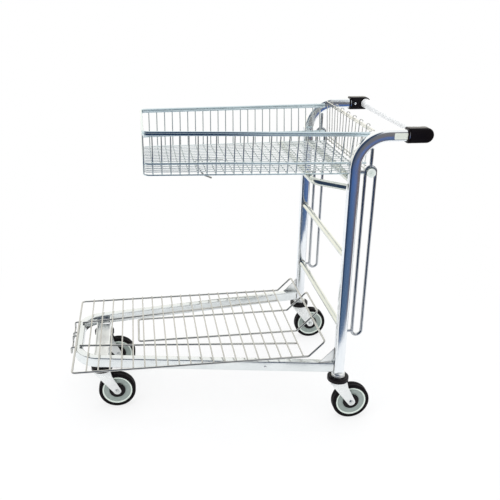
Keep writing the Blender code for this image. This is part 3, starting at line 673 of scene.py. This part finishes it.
def build_rail_bolts():
    outward = Vector((-RAIL_TAPER, 1, 0)).normalized()
    for name, sign in SIDES.items():
        low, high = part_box(f"{name}_rail_bolt")
        normal = Vector((outward.x, sign * outward.y, 0))
        base = (low + high) / 2 - normal * 0.0018
        shape = Shape()
        turned(shape, [(0.0, 0), (0.0058, 0), (0.0058, 0.0005), (0.0054, 0.0008), (0.0, 0.0008)], base, normal, 32)
        hexagon_head(shape, base + normal * 0.0008, normal, 0.0046, 0.0024)
        finish_mesh(shape, f"{name}_rail_bolt_head", ZINC_PART, "frame", [f"{name}_rail_bolt"])


# ---------------------------------------------------------------- handle
def build_caps():
    """End caps with a scalloped mouth, a rounded nose and a moulded rib round the mouth."""
    nose_r = CAP_TALL / 2
    nose_x = CAP_END_X - nose_r
    for name, sign in SIDES.items():
        centre_y = sign * UPRIGHT_Y
        outline = [(CAP_MOUTH_X, HANDLE_TUBE_Z - nose_r)]
        outline += arc((nose_x, HANDLE_TUBE_Z), nose_r, -90, 90, 28)
        outline += [(CAP_MOUTH_X, HANDLE_TUBE_Z + nose_r)]
        scallop, count = 0.005, 10
        for k in range(1, count):
            share = k / count
            x = CAP_MOUTH_X + scallop * math.sin(math.pi * share)
            outline.append((x, HANDLE_TUBE_Z + nose_r - CAP_TALL * share))
        shape = slab(Shape(), outline, CAP_WIDE, upright_plane(centre_y), edge=0.0048, steps=6)
        lip = rounded_rectangle(CAP_WIDE * 0.96, CAP_TALL * 1.02, 0.0075, 5)
        path = [Vector((at_x(CAP_MOUTH_X - 0.003 + k * 0.001), centre_y, HANDLE_TUBE_Z)) for k in range(6)]
        sweep(shape, path, lip, side=ACROSS, scales=[0.97, 0.995, 1.0, 1.0, 0.99, 0.96])
        finish_mesh(shape, f"{name}_end_cap", BLACK, "frame", [f"{name}_handle_cap"], 40)
        build_cap_screw(name, sign)


def build_cap_screw(name, sign):
    low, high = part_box(f"{name}_cap_screw")
    middle = (low + high) / 2
    axis = -sign * ACROSS
    base = Vector((middle.x, high.y if sign > 0 else low.y, middle.z))
    profile = [
        (0.0, -0.001),
        (0.0050, -0.001),
        (0.0050, 0.0006),
        (0.0044, 0.0016),
        (0.0026, 0.0023),
        (0.0014, 0.0025),
        (0.0010, 0.0012),
        (0.0, 0.0011),
    ]
    shape = turned(Shape(), profile, base, axis, 32)
    finish_mesh(shape, f"{name}_cap_screw_head", ZINC_PART, "frame", [f"{name}_cap_screw"])


def build_grip():
    """A smooth white sleeve with a shallow groove where it enters each end cap."""
    reach = UPRIGHT_Y - CAP_WIDE / 2 + GRIP_SOCKET - GAP
    groove = UPRIGHT_Y - CAP_WIDE / 2 - 0.004
    stations = [(-reach, 1), (-groove - 0.002, 1), (-groove, 0.94), (0.002 - groove, 1)]
    stations += [(y / 10 * (groove - 0.01), 1) for y in range(-9, 10)]
    stations += [(groove - 0.002, 1), (groove, 0.94), (groove + 0.002, 1), (reach, 1)]
    rings = [
        [
            Vector((at_x(GRIP_X) + u * scale, y, HANDLE_TUBE_Z - v * scale))
            for u, v in circle(GRIP_R, 56)
        ]
        for y, scale in stations
    ]
    finish_mesh(Shape().skin(rings), "grip_sleeve", WHITE, "frame", ["push_handle"], 40)


def build_label():
    """A blank adhesive label on the outer face of the near handle tube."""
    outline = [
        (x + 0.1465, y + HANDLE_TUBE_Z - 0.001) for x, y in rounded_rectangle(0.043, 0.019, 0.003, 4)
    ]
    y = -(UPRIGHT_Y + TUBE_WIDE / 2 + 0.0002)
    shape = slab(Shape(), outline, 0.0005, upright_plane(y), edge=0.0001, steps=1)
    finish_mesh(shape, "blank_label", LABEL, "frame")


# ---------------------------------------------------------------- basket
def basket_half(x, z):
    """Half width of the basket, measured to the outside of its side wires."""
    along = (x - BASKET_FRONT_X) / (BASKET_REAR_X - BASKET_FRONT_X)
    up = (z - BASKET_FLOOR_Z) / (BASKET_RIM_Z - BASKET_FLOOR_Z)
    rim, floor = (
        front + (rear - front) * along for front, rear in (BASKET_RIM_HALVES, BASKET_FLOOR_HALVES)
    )
    return floor + (rim - floor) * up


def basket_hoop(z, radius, inset, corner_r=0.020):
    """Path of a rod that runs forward along one side, across the front and back along the other."""
    rear, front = BASKET_REAR_X - 0.001, BASKET_FRONT_X + radius
    corners = [
        (at_x(rear), -(basket_half(rear, z) - inset), z),
        (at_x(front), -(basket_half(front, z) - inset), z),
        (at_x(front), basket_half(front, z) - inset, z),
        (at_x(rear), basket_half(rear, z) - inset, z),
    ]
    return rounded_path(corners, corner_r, steps=8)


def build_basket():
    rods = Shape()
    rim_z = BASKET_RIM_Z - RIM_R
    for z, radius, inset in (
        (rim_z, RIM_R, RIM_R),
        (rim_z - 2 * RIM_R, RIM_R, RIM_R),
        (BASKET_MID_Z, RAIL_R, -0.0024),
        (BASKET_FLOOR_Z + 0.0018, EDGE_R, 0.0),
    ):
        rod(rods, basket_hoop(z, radius, inset), radius, sides=14)
    finish_mesh(rods, "basket_rims", RIM_STEEL, "frame", ["basket"], 50)

    wires = Shape()
    inset, foot_inset = RIM_R, 0.0045
    top_z = rim_z - 2.5 * RIM_R
    low_z = BASKET_FLOOR_Z + BASKET_WIRE_R
    for index in range(SIDE_WIRES):
        x = BASKET_FRONT_X + 0.0035 + index * SIDE_PITCH
        top, foot = basket_half(x, top_z) - inset, basket_half(x, low_z) - foot_inset
        corners = [
            (at_x(x), -top, top_z),
            (at_x(x), -foot, low_z),
            (at_x(x), foot, low_z),
            (at_x(x), top, top_z),
        ]
        rod(wires, rounded_path(corners, 0.004, steps=4), BASKET_WIRE_R, sides=10)
    floor_z = low_z + 2 * BASKET_WIRE_R - 0.0006
    front_x = BASKET_FRONT_X + RIM_R
    rear_x = BASKET_REAR_X - 0.004
    for index in range(FLOOR_WIRES):
        share = 2 * index / (FLOOR_WIRES - 1) - 1
        front_y = share * (basket_half(front_x, low_z) - 0.022)
        rear_y = share * (basket_half(rear_x, low_z) - 0.022)
        corners = [
            (at_x(front_x), front_y, top_z),
            (at_x(front_x), front_y, floor_z),
            (at_x(rear_x), rear_y, floor_z),
        ]
        rod(wires, rounded_path(corners, 0.009, steps=4), 0.0019, sides=10)
    sill_half = basket_half(rear_x, low_z) - inset
    rod(wires, [(at_x(rear_x), -sill_half, low_z), (at_x(rear_x), sill_half, low_z)], 0.0026, sides=12)
    finish_mesh(wires, "basket_wires", BASKET_STEEL, "frame", sharp=50)


def build_catch():
    low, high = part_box("basket_catch")
    top_z = BASKET_FLOOR_Z - 0.003
    corners = [
        (at_x(-0.337), 0, top_z),
        (at_x(-0.434), 0, top_z),
        (at_x(-0.402), 0, 0.779),
        (at_x(-0.374), 0, 0.767),
    ]
    shape = rod(Shape(), rounded_path(corners, 0.007, steps=8), 0.003, 14)
    finish_mesh(shape, "basket_catch_wire", CATCH_STEEL, "frame", ["basket_catch"], 50)


# ---------------------------------------------------------------- gate
def gate_half(z):
    share = (GATE_PIVOT_Z - z) / (GATE_PIVOT_Z - GATE_BOTTOM_Z)
    return GATE_HALF_TOP + (GATE_HALF_BOTTOM - GATE_HALF_TOP) * share


def build_gate():
    low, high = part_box("gate_hinge_rod")
    centre = (low + high) / 2
    hinge = rod(Shape(), [(centre.x, low.y, centre.z), (centre.x, high.y, centre.z)], GATE_ROD_R, 16)
    finish_mesh(hinge, "hinge_rod", CHROME, "frame", ["gate_hinge_rod"], 50)

    hook_r, hook_lift = 0.0053, 0.0045
    wire_x = GATE_PIVOT_X - hook_r
    shape = Shape()
    rod_x = wire_x + GATE_WIRE_R + 0.0017
    for z in (GATE_BOTTOM_Z, GATE_BOTTOM_Z + 0.012, GATE_TOP_ROD_Z):
        half = gate_half(z)
        rod(shape, [(at_x(rod_x), -half, z), (at_x(rod_x), half, z)], 0.0021, 14)
    for index in range(GATE_WIRES):
        share = 2 * index / (GATE_WIRES - 1) - 1
        top_y = share * (gate_half(GATE_PIVOT_Z) - 0.006)
        bottom_y = share * (gate_half(GATE_BOTTOM_Z) - 0.004)
        path = [(at_x(wire_x), bottom_y, GATE_BOTTOM_Z - 0.0035), (at_x(wire_x), top_y, GATE_TOP_ROD_Z)]
        if index % 2 == 1:
            curl = arc((GATE_PIVOT_X, GATE_PIVOT_Z + hook_lift), hook_r, 180, -20, 14)
            path += [(at_x(x), top_y, z) for x, z in curl]
        rod(shape, path, GATE_WIRE_R, 10)
    finish_mesh(shape, "gate_wires", CHROME, "gate", ["basket_gate"], 50)


# ---------------------------------------------------------------- deck
def deck_z(x):
    """Height of the deck's rods, which climb a little towards the rear."""
    return DECK_FRONT_Z + DECK_RISE * (x - DECK_FRONT_X) / (DECK_REAR_X - DECK_FRONT_X)


def deck_loop(shape, front_x, half, lip_run):
    """A rod rectangle whose rear end turns up at 45 degrees."""
    rear_z = deck_z(DECK_REAR_X)
    side = [(front_x, deck_z(front_x)), (DECK_REAR_X, rear_z), (DECK_REAR_X + lip_run, rear_z + lip_run)]
    corners = [(at_x(x), -half, z) for x, z in side] + [(at_x(x), half, z) for x, z in reversed(side)]
    rod(shape, rounded_path(corners, 0.010, steps=6, closed=True), DECK_ROD_R, 16, closed=True)


def build_deck():
    rods = Shape()
    deck_loop(rods, DECK_FRONT_X, DECK_HALF, DECK_LIP_RUN)
    deck_loop(rods, DECK_INNER_FRONT_X, DECK_INNER_HALF, DECK_INNER_LIP_RUN)
    first_x = DECK_FRONT_X + 0.045
    last_x = first_x + DECK_WIRE_PITCH * (DECK_WIRES - 1)
    stay_x = first_x - 0.033
    hook_x = DECK_FRONT_X - 0.015
    for sign in SIDES.values():
        ends = [
            (at_x(stay_x), sign * 0.084, deck_z(stay_x)),
            (at_x(last_x), sign * 0.170, deck_z(last_x)),
        ]
        rod(rods, ends, DECK_ROD_R, 16)
        low_y, high_y = sorted((sign * 0.012, sign * 0.092))
        leg = [
            (DECK_FRONT_X, DECK_FRONT_Z),
            (hook_x, DECK_FRONT_Z - 0.002),
            (hook_x, DECK_FRONT_Z - 0.0235),
        ]
        corners = [(at_x(x), low_y, z) for x, z in leg] + [(at_x(x), high_y, z) for x, z in reversed(leg)]
        rod(rods, rounded_path(corners, 0.005, steps=5), HOOK_R, 14)
    finish_mesh(rods, "deck_rods", DECK_RODS, "deck", ["deck"], 50)

    wires = Shape()
    reach = DECK_HALF + 0.0025
    for index in range(DECK_WIRES):
        x = first_x + DECK_WIRE_PITCH * index
        z = deck_z(x) + 0.7 * (DECK_ROD_R + DECK_WIRE_R)
        rod(wires, [(at_x(x), -reach, z), (at_x(x), reach, z)], DECK_WIRE_R, 12)
    finish_mesh(wires, "deck_cross_wires", DECK_STEEL, "deck", sharp=50)


# ---------------------------------------------------------------- castors
CASTORS = {
    f"{end}_{side}": (pivot_x, sign * pivot_y)
    for end, pivot_x, pivot_y in (("front", FRONT_PIVOT_X, FRONT_PIVOT_Y), ("rear", REAR_PIVOT_X, UPRIGHT_Y))
    for side, sign in SIDES.items()
}


def mirror_profile(profile):
    return profile + [(r, -h) for r, h in reversed(profile)]


def local_mesh(shape, name, look, sharp=35):
    mesh = bpy.data.meshes.new(name)
    mesh.from_pydata(shape.points, [], shape.faces)
    mesh.validate()
    mesh.update()
    mesh.shade_smooth()
    mesh.set_sharp_from_angle(angle=math.radians(sharp))
    mesh.materials.append(look)
    return mesh


def cup_mesh():
    top = FRAME_BOTTOM_Z - GAP
    profile = [
        (PIN_R + 0.001, top),
        (PIN_R + 0.001, CUP_BOTTOM_Z + 0.0005),
        (CUP_R - 0.006, CUP_BOTTOM_Z),
        (CUP_R - 0.0008, CUP_BOTTOM_Z + 0.0004),
        (CUP_R, CUP_BOTTOM_Z + 0.0012),
        (CUP_R, top - 0.0125),
        (CUP_R - 0.0012, top - 0.0115),
        (CUP_R - 0.0012, top - 0.0095),
        (CUP_R, top - 0.0085),
        (CUP_R, top - 0.006),
        (CUP_R - 0.0008, top - 0.0035),
        (CUP_R - 0.003, top - 0.001),
        (CUP_R - 0.005, top),
    ]
    return local_mesh(turned(Shape(), profile, (0, 0, 0), UP, 64), "castor_cup_turned", GALVANISED)


def buffer_mesh():
    """A soft-edged collar whose opening shows the bright cup inside it."""
    web_z, bore, edge, mouth = CUP_BOTTOM_Z - GAP, 0.0145, 0.0032, CUP_R + 0.0015
    lower = arc((BUFFER_R - edge, BUFFER_BOTTOM_Z + edge), edge, -90, 0, 6)
    upper = arc((BUFFER_R - edge, BUFFER_TOP_Z - edge), edge, 0, 90, 6)
    profile = [(bore, BUFFER_BOTTOM_Z), *lower, *upper]
    profile += [(mouth + 0.0012, BUFFER_TOP_Z), (mouth, BUFFER_TOP_Z - 0.0012), (mouth, web_z), (bore, web_z)]
    return local_mesh(turned(Shape(), profile, (0, 0, 0), UP, 72), "buffer_ring_moulded", BLACK)


def pin_mesh():
    head_top = FORK_TOP_Z - 0.004 - GAP
    shape = Shape()
    turned(
        shape,
        [(0.0, head_top - 0.002), (PIN_R, head_top - 0.002), (PIN_R, FRAME_BOTTOM_Z - 0.003), (0.0, FRAME_BOTTOM_Z - 0.003)],
        (0, 0, 0),
        UP,
        32,
    )
    hexagon_head(shape, (0, 0, head_top), -UP, 0.009, 0.006)
    return local_mesh(shape, "swivel_pin_turned", ZINC_PART)


def fork_outline():
    """Side view of a fork leg about the swivel axis: wide at the crown, round at the axle."""
    half_top = 0.0285
    foot = arc((TRAIL, WHEEL_R), 0.013, -150, 20, 14)
    outline = [(-half_top, FORK_TOP_Z - 0.004), *foot, (half_top + 0.004, 0.122), (half_top, FORK_TOP_Z - 0.004)]
    return outline + [(half_top - 0.003, FORK_TOP_Z), (-half_top + 0.003, FORK_TOP_Z)]


def fork_mesh():
    """One pressed sheet: two legs that fold over into the crown, and the raised neck."""
    shape = Shape()
    leg_y = TYRE_WIDE / 2 + 0.0015 + FORK_PLATE / 2
    for sign in SIDES.values():
        slab(shape, fork_outline(), FORK_PLATE, lambda u, v, w, s=sign: (u, s * leg_y - w, v), edge=0.0008, steps=3)
    outer = leg_y + FORK_PLATE / 2 - 0.0002
    crown = rounded_rectangle(0.053, 2 * outer, 0.004, 5)
    stack = [(0.0015, -0.0042), (0.0, -0.0032), (0.0, -0.0012), (0.0012, -0.0002)]
    shape.skin(
        [[Vector((p.x, p.y, FORK_TOP_Z + height)) for p in offset_outline(crown, inset)] for inset, height in stack]
    )
    neck = [
        (0.0, FORK_TOP_Z - 0.003),
        (0.0185, FORK_TOP_Z - 0.003),
        (0.0175, FORK_TOP_Z),
        (0.0145, FORK_TOP_Z + 0.0012),
        (0.0138, FORK_TOP_Z + 0.003),
        (0.0138, CUP_BOTTOM_Z - GAP),
        (0.0, CUP_BOTTOM_Z - GAP),
    ]
    turned(shape, neck, (0, 0, 0), UP, 48)
    return local_mesh(shape, "fork_pressed", GALVANISED)


def axle_mesh():
    head_y = TYRE_WIDE / 2 + 0.0015 + FORK_PLATE
    shape = Shape()
    profile = [(0.0, -head_y - 0.0045), (AXLE_R - 0.0006, -head_y - 0.0045), (AXLE_R, -head_y - 0.004)]
    turned(shape, mirror_profile(profile), (0, 0, 0), ACROSS, 28)
    for sign in SIDES.values():
        washer = [(0.0, 0.0), (0.0085, 0.0), (0.0085, 0.0006), (0.0081, 0.0009), (0.0, 0.0009)]
        turned(shape, washer, (0, sign * head_y, 0), sign * ACROSS, 32)
        hexagon_head(shape, (0, sign * (head_y + 0.0009), 0), sign * ACROSS, 0.0068, 0.0028)
    return local_mesh(shape, "axle_bolt_turned", ZINC_PART)


def wheel_meshes():
    half = TYRE_WIDE / 2
    bore = AXLE_R + 0.0006
    hub = [
        (bore, -half),
        (0.0085, -half),
        (0.0095, 0.0008 - half),
        (HUB_R - 0.0045, 0.0008 - half),
        (HUB_R - 0.003, 0.0003 - half),
        (HUB_R - 0.001, 0.0008 - half),
        (HUB_R, 0.0025 - half),
        (HUB_R - 0.002, 0.0042 - half),
        (0.013, 0.0048 - half),
    ]
    rim_r = WHEEL_R - TYRE_DEEP
    rim = [
        (0.0133, 0.0075 - half),
        (0.0270, 0.0068 - half),
        (0.0330, 0.0078 - half),
        (0.0400, 0.0068 - half),
        (0.0440, 0.0050 - half),
        (0.0462, 0.0026 - half),
        (0.0474, 0.0014 - half),
        (0.0490, 0.0011 - half),
        (0.0502, 0.0016 - half),
        (rim_r - GAP, 0.0026 - half),
    ]
    tyre = [(rim_r, 0.0016 - half), (rim_r + 0.0012, 0.0006 - half), (rim_r + 0.003, 0.0001 - half)]
    tyre += [
        (rim_r + 0.0062, 0.0002 - half),
        (rim_r + 0.0066, 0.0007 - half),
        (rim_r + 0.0072, 0.0007 - half),
        (rim_r + 0.0076, 0.0003 - half),
    ]
    shoulder = 0.0042
    for a in range(0, 91, 15):
        turn = math.radians(a)
        tyre.append(
            (WHEEL_R - shoulder + shoulder * math.sin(turn), shoulder - half + 0.0004 - shoulder * math.cos(turn))
        )
    for y in (0.0032, 0.0008):
        tyre += [(WHEEL_R, -y - 0.0007), (WHEEL_R - 0.0007, -y - 0.0004), (WHEEL_R - 0.0007, 0.0004 - y), (WHEEL_R, 0.0007 - y)]
    made = {}
    for name, profile, look in (("wheel_hub", hub, BLACK), ("wheel_rim", rim, RIM_PLASTIC), ("tyre", tyre, RUBBER)):
        whole = mirror_profile(profile)
        made[name] = local_mesh(turned(Shape(), whole, (0, 0, 0), ACROSS, 96), f"{name}_moulded", look)
    return made


def build_castors():
    cup, ring, pin, fork, axle = cup_mesh(), buffer_mesh(), pin_mesh(), fork_mesh(), axle_mesh()
    wheel = wheel_meshes()
    for name, (pivot_x, pivot_y) in CASTORS.items():
        foot = (at_x(pivot_x), pivot_y, 0)
        hub = (at_x(pivot_x + TRAIL), pivot_y, WHEEL_R)
        place(cup, f"{name}_cup", "frame", [f"{name}_castor_cup"], foot)
        place(ring, f"{name}_ring", "frame", [f"{name}_buffer_ring"], foot)
        place(pin, f"{name}_pin", "frame", [f"{name}_swivel_pin"], foot)
        place(fork, f"{name}_fork_body", f"{name}_swivel", [f"{name}_fork"], foot)
        place(axle, f"{name}_axle", f"{name}_swivel", [f"{name}_axle_bolt"], hub)
        for part, mesh in wheel.items():
            place(mesh, f"{name}_{part}_disc", f"{name}_wheel", [f"{name}_{part}"], hub)


# ---------------------------------------------------------------- floor, light and camera
def build_floor():
    """A pale studio floor. Its sheet ends in front of the trolley, where reflections see the dark room."""
    shape = Shape()
    size = 6.0
    shape.points = [(-size, -size, 0), (size, -size, 0), (size, size, 0), (-size, size, 0)]
    shape.faces = [(0, 1, 2, 3)]
    look = bpy.data.materials.new("studio_floor")
    look.use_nodes = True
    graph = Graph(look.node_tree)
    shader = look.node_tree.nodes["Principled BSDF"]
    shader.inputs["Roughness"].default_value = 0.9
    shader.inputs["Specular IOR Level"].default_value = 0.1
    coords = graph.add("ShaderNodeTexCoord").outputs["Object"]
    mottling = graph.noise(coords, 3.0, 5.0)
    paint = graph.mix(graph.fit(mottling, 0.3, 0.7), (0.90, 0.90, 0.90), (0.93, 0.93, 0.93))
    look.node_tree.links.new(paint, shader.inputs["Base Color"])
    place_xyz = graph.add("ShaderNodeSeparateXYZ", {"Vector": coords}).outputs
    edge = graph.math("SUBTRACT", -0.5345, graph.math("MULTIPLY", place_xyz["X"], 0.6))
    ahead = graph.math("LESS_THAN", place_xyz["Y"], graph.math("MINIMUM", edge, -0.80))
    beside = graph.math("GREATER_THAN", place_xyz["X"], 2.4)
    beyond = graph.math("MAXIMUM", ahead, beside)
    rays = graph.add("ShaderNodeLightPath").outputs
    share = graph.math("MULTIPLY", beyond, rays["Is Glossy Ray"])
    see_through = graph.add("ShaderNodeBsdfTransparent").outputs[0]
    output = look.node_tree.nodes["Material Output"]
    away = graph.add("ShaderNodeVectorMath", {0: coords}, operation="LENGTH").outputs["Value"]
    fade = graph.math("MULTIPLY", graph.fit(away, 0.6, 1.5, 0.75, 1.0, smooth=True), rays["Is Camera Ray"])
    white = graph.add("ShaderNodeEmission", {"Color": (1.0, 1.0, 1.0, 1.0), "Strength": 1.0}).outputs[0]
    faded = graph.add("ShaderNodeMixShader", {0: fade, 1: shader.outputs[0], 2: white})
    blend = graph.add("ShaderNodeMixShader", {0: share, 1: faded.outputs[0], 2: see_through})
    look.node_tree.links.new(blend.outputs[0], output.inputs["Surface"])
    mesh = bpy.data.meshes.new("floor")
    mesh.from_pydata(shape.points, [], shape.faces)
    mesh.materials.append(look)
    floor = bpy.data.objects.new("floor", mesh)
    bpy.context.scene.collection.objects.link(floor)


def build_world():
    """Even white light, with a dim room in front of the trolley that only reflections see."""
    world = bpy.data.worlds.new("studio")
    bpy.context.scene.world = world
    world.use_nodes = True
    graph = Graph(world.node_tree)
    way = graph.add("ShaderNodeTexCoord").outputs["Generated"]
    axes = graph.add("ShaderNodeSeparateXYZ", {"Vector": way}).outputs
    x, y, z = axes["X"], axes["Y"], axes["Z"]

    def facing(degrees):
        turn = math.radians(degrees)
        return graph.math(
            "ADD", graph.math("MULTIPLY", x, math.cos(turn)), graph.math("MULTIPLY", y, math.sin(turn))
        )

    ramp = graph.add("ShaderNodeValToRGB", {"Fac": graph.fit(z, -0.5, 0.5)})
    stops = [
        (0.00, (0.10, 0.17, 0.28)),
        (0.20, (0.09, 0.165, 0.33)),
        (0.245, (0.08, 0.21, 0.60)),
        (0.28, (0.15, 0.16, 0.27)),
        (0.30, (0.19, 0.18, 0.18)),
        (0.55, (0.24, 0.24, 0.25)),
        (0.80, (0.85, 0.88, 0.92)),
    ]
    elements = ramp.color_ramp.elements
    while len(elements) < len(stops):
        elements.new(0.5)
    for element, (position, colour) in zip(elements, stops):
        element.position = position
        element.color = (*colour, 1.0)
    warm_share = graph.math(
        "MULTIPLY", graph.fit(x, 0.34, 0.44, smooth=True), graph.fit(z, -0.16, -0.20, smooth=True)
    )
    room = graph.mix(warm_share, ramp.outputs["Color"], (0.17, 0.14, 0.15))
    bright = graph.mix(graph.fit(z, 0.0, 0.7, smooth=True), (1.28, 1.24, 1.13), (1.10, 1.10, 1.09))
    room_share = graph.math(
        "MULTIPLY",
        graph.fit(facing(-55), 0.10, 0.45, smooth=True),
        graph.fit(z, 0.55, 0.25, smooth=True),
    )
    low_share = graph.math(
        "MULTIPLY", graph.fit(z, -0.19, -0.225, smooth=True), graph.fit(y, -0.02, -0.22, smooth=True)
    )
    reflected = graph.mix(graph.math("MAXIMUM", room_share, low_share), bright, room)
    lift = graph.math("MULTIPLY", graph.math("MAXIMUM", z, 0.0), graph.fit(x, 0.22, 0.05, 0.0, 0.5, smooth=True))
    core_share = graph.fit(graph.math("ADD", facing(-122), lift), 0.58, 0.86, smooth=True)
    reflected = graph.mix(core_share, reflected, (0.03, 0.055, 0.11))
    rays = graph.add("ShaderNodeLightPath").outputs
    seen = graph.mix(rays["Is Glossy Ray"], (0.92, 0.93, 0.95), reflected)
    seen = graph.mix(rays["Is Camera Ray"], seen, (1.0, 1.0, 1.0))
    background = world.node_tree.nodes["Background"]
    world.node_tree.links.new(seen, background.inputs["Color"])
    background.inputs["Strength"].default_value = 1.0


def build_lights():
    """Two large soft lamps overhead. Metals don't mirror them, since the room already is the reflection."""
    for name, spot, size, power in (
        ("key", (-1.6, -1.4, 3.2), 2.6, 34.0),
        ("top", (0.8, 0.8, 3.4), 3.2, 26.0),
    ):
        light = bpy.data.lights.new(name, "AREA")
        light.size = size
        light.energy = power
        lamp = bpy.data.objects.new(name, light)
        lamp.location = spot
        lamp.rotation_euler = (Vector((0, 0, 0.4)) - Vector(spot)).to_track_quat("-Z", "Y").to_euler()
        lamp.visible_glossy = False
        lamp.visible_camera = False
        bpy.context.scene.collection.objects.link(lamp)


def build_camera():
    camera = bpy.data.objects.new("camera", bpy.data.cameras.new("camera"))
    camera.data.lens = 48.83
    camera.data.shift_x, camera.data.shift_y = 0.0385, 0.0070
    yaw, pitch, roll = (math.radians(angle) for angle in (7.985, -21.782, 0.673))
    turn = (
        Matrix.Rotation(-yaw, 4, "Z")
        @ Matrix.Rotation(math.pi / 2 + pitch, 4, "X")
        @ Matrix.Rotation(roll, 4, "Z")
    )
    camera.matrix_world = Matrix.Translation((-0.2999, -2.1597, 1.3668)) @ turn
    bpy.context.scene.collection.objects.link(camera)
    bpy.context.scene.camera = camera
    bpy.context.scene.view_settings.view_transform = "Standard"


build_uprights()
build_chassis()
build_castor_bridge()
build_cross_bars()
build_bow()
build_gussets()
build_frame_welds()
build_loops()
build_rail_bolts()
build_caps()
build_grip()
build_label()
build_basket()
build_catch()
build_gate()
build_deck()
build_castors()
build_floor()
build_world()
build_lights()
build_camera()
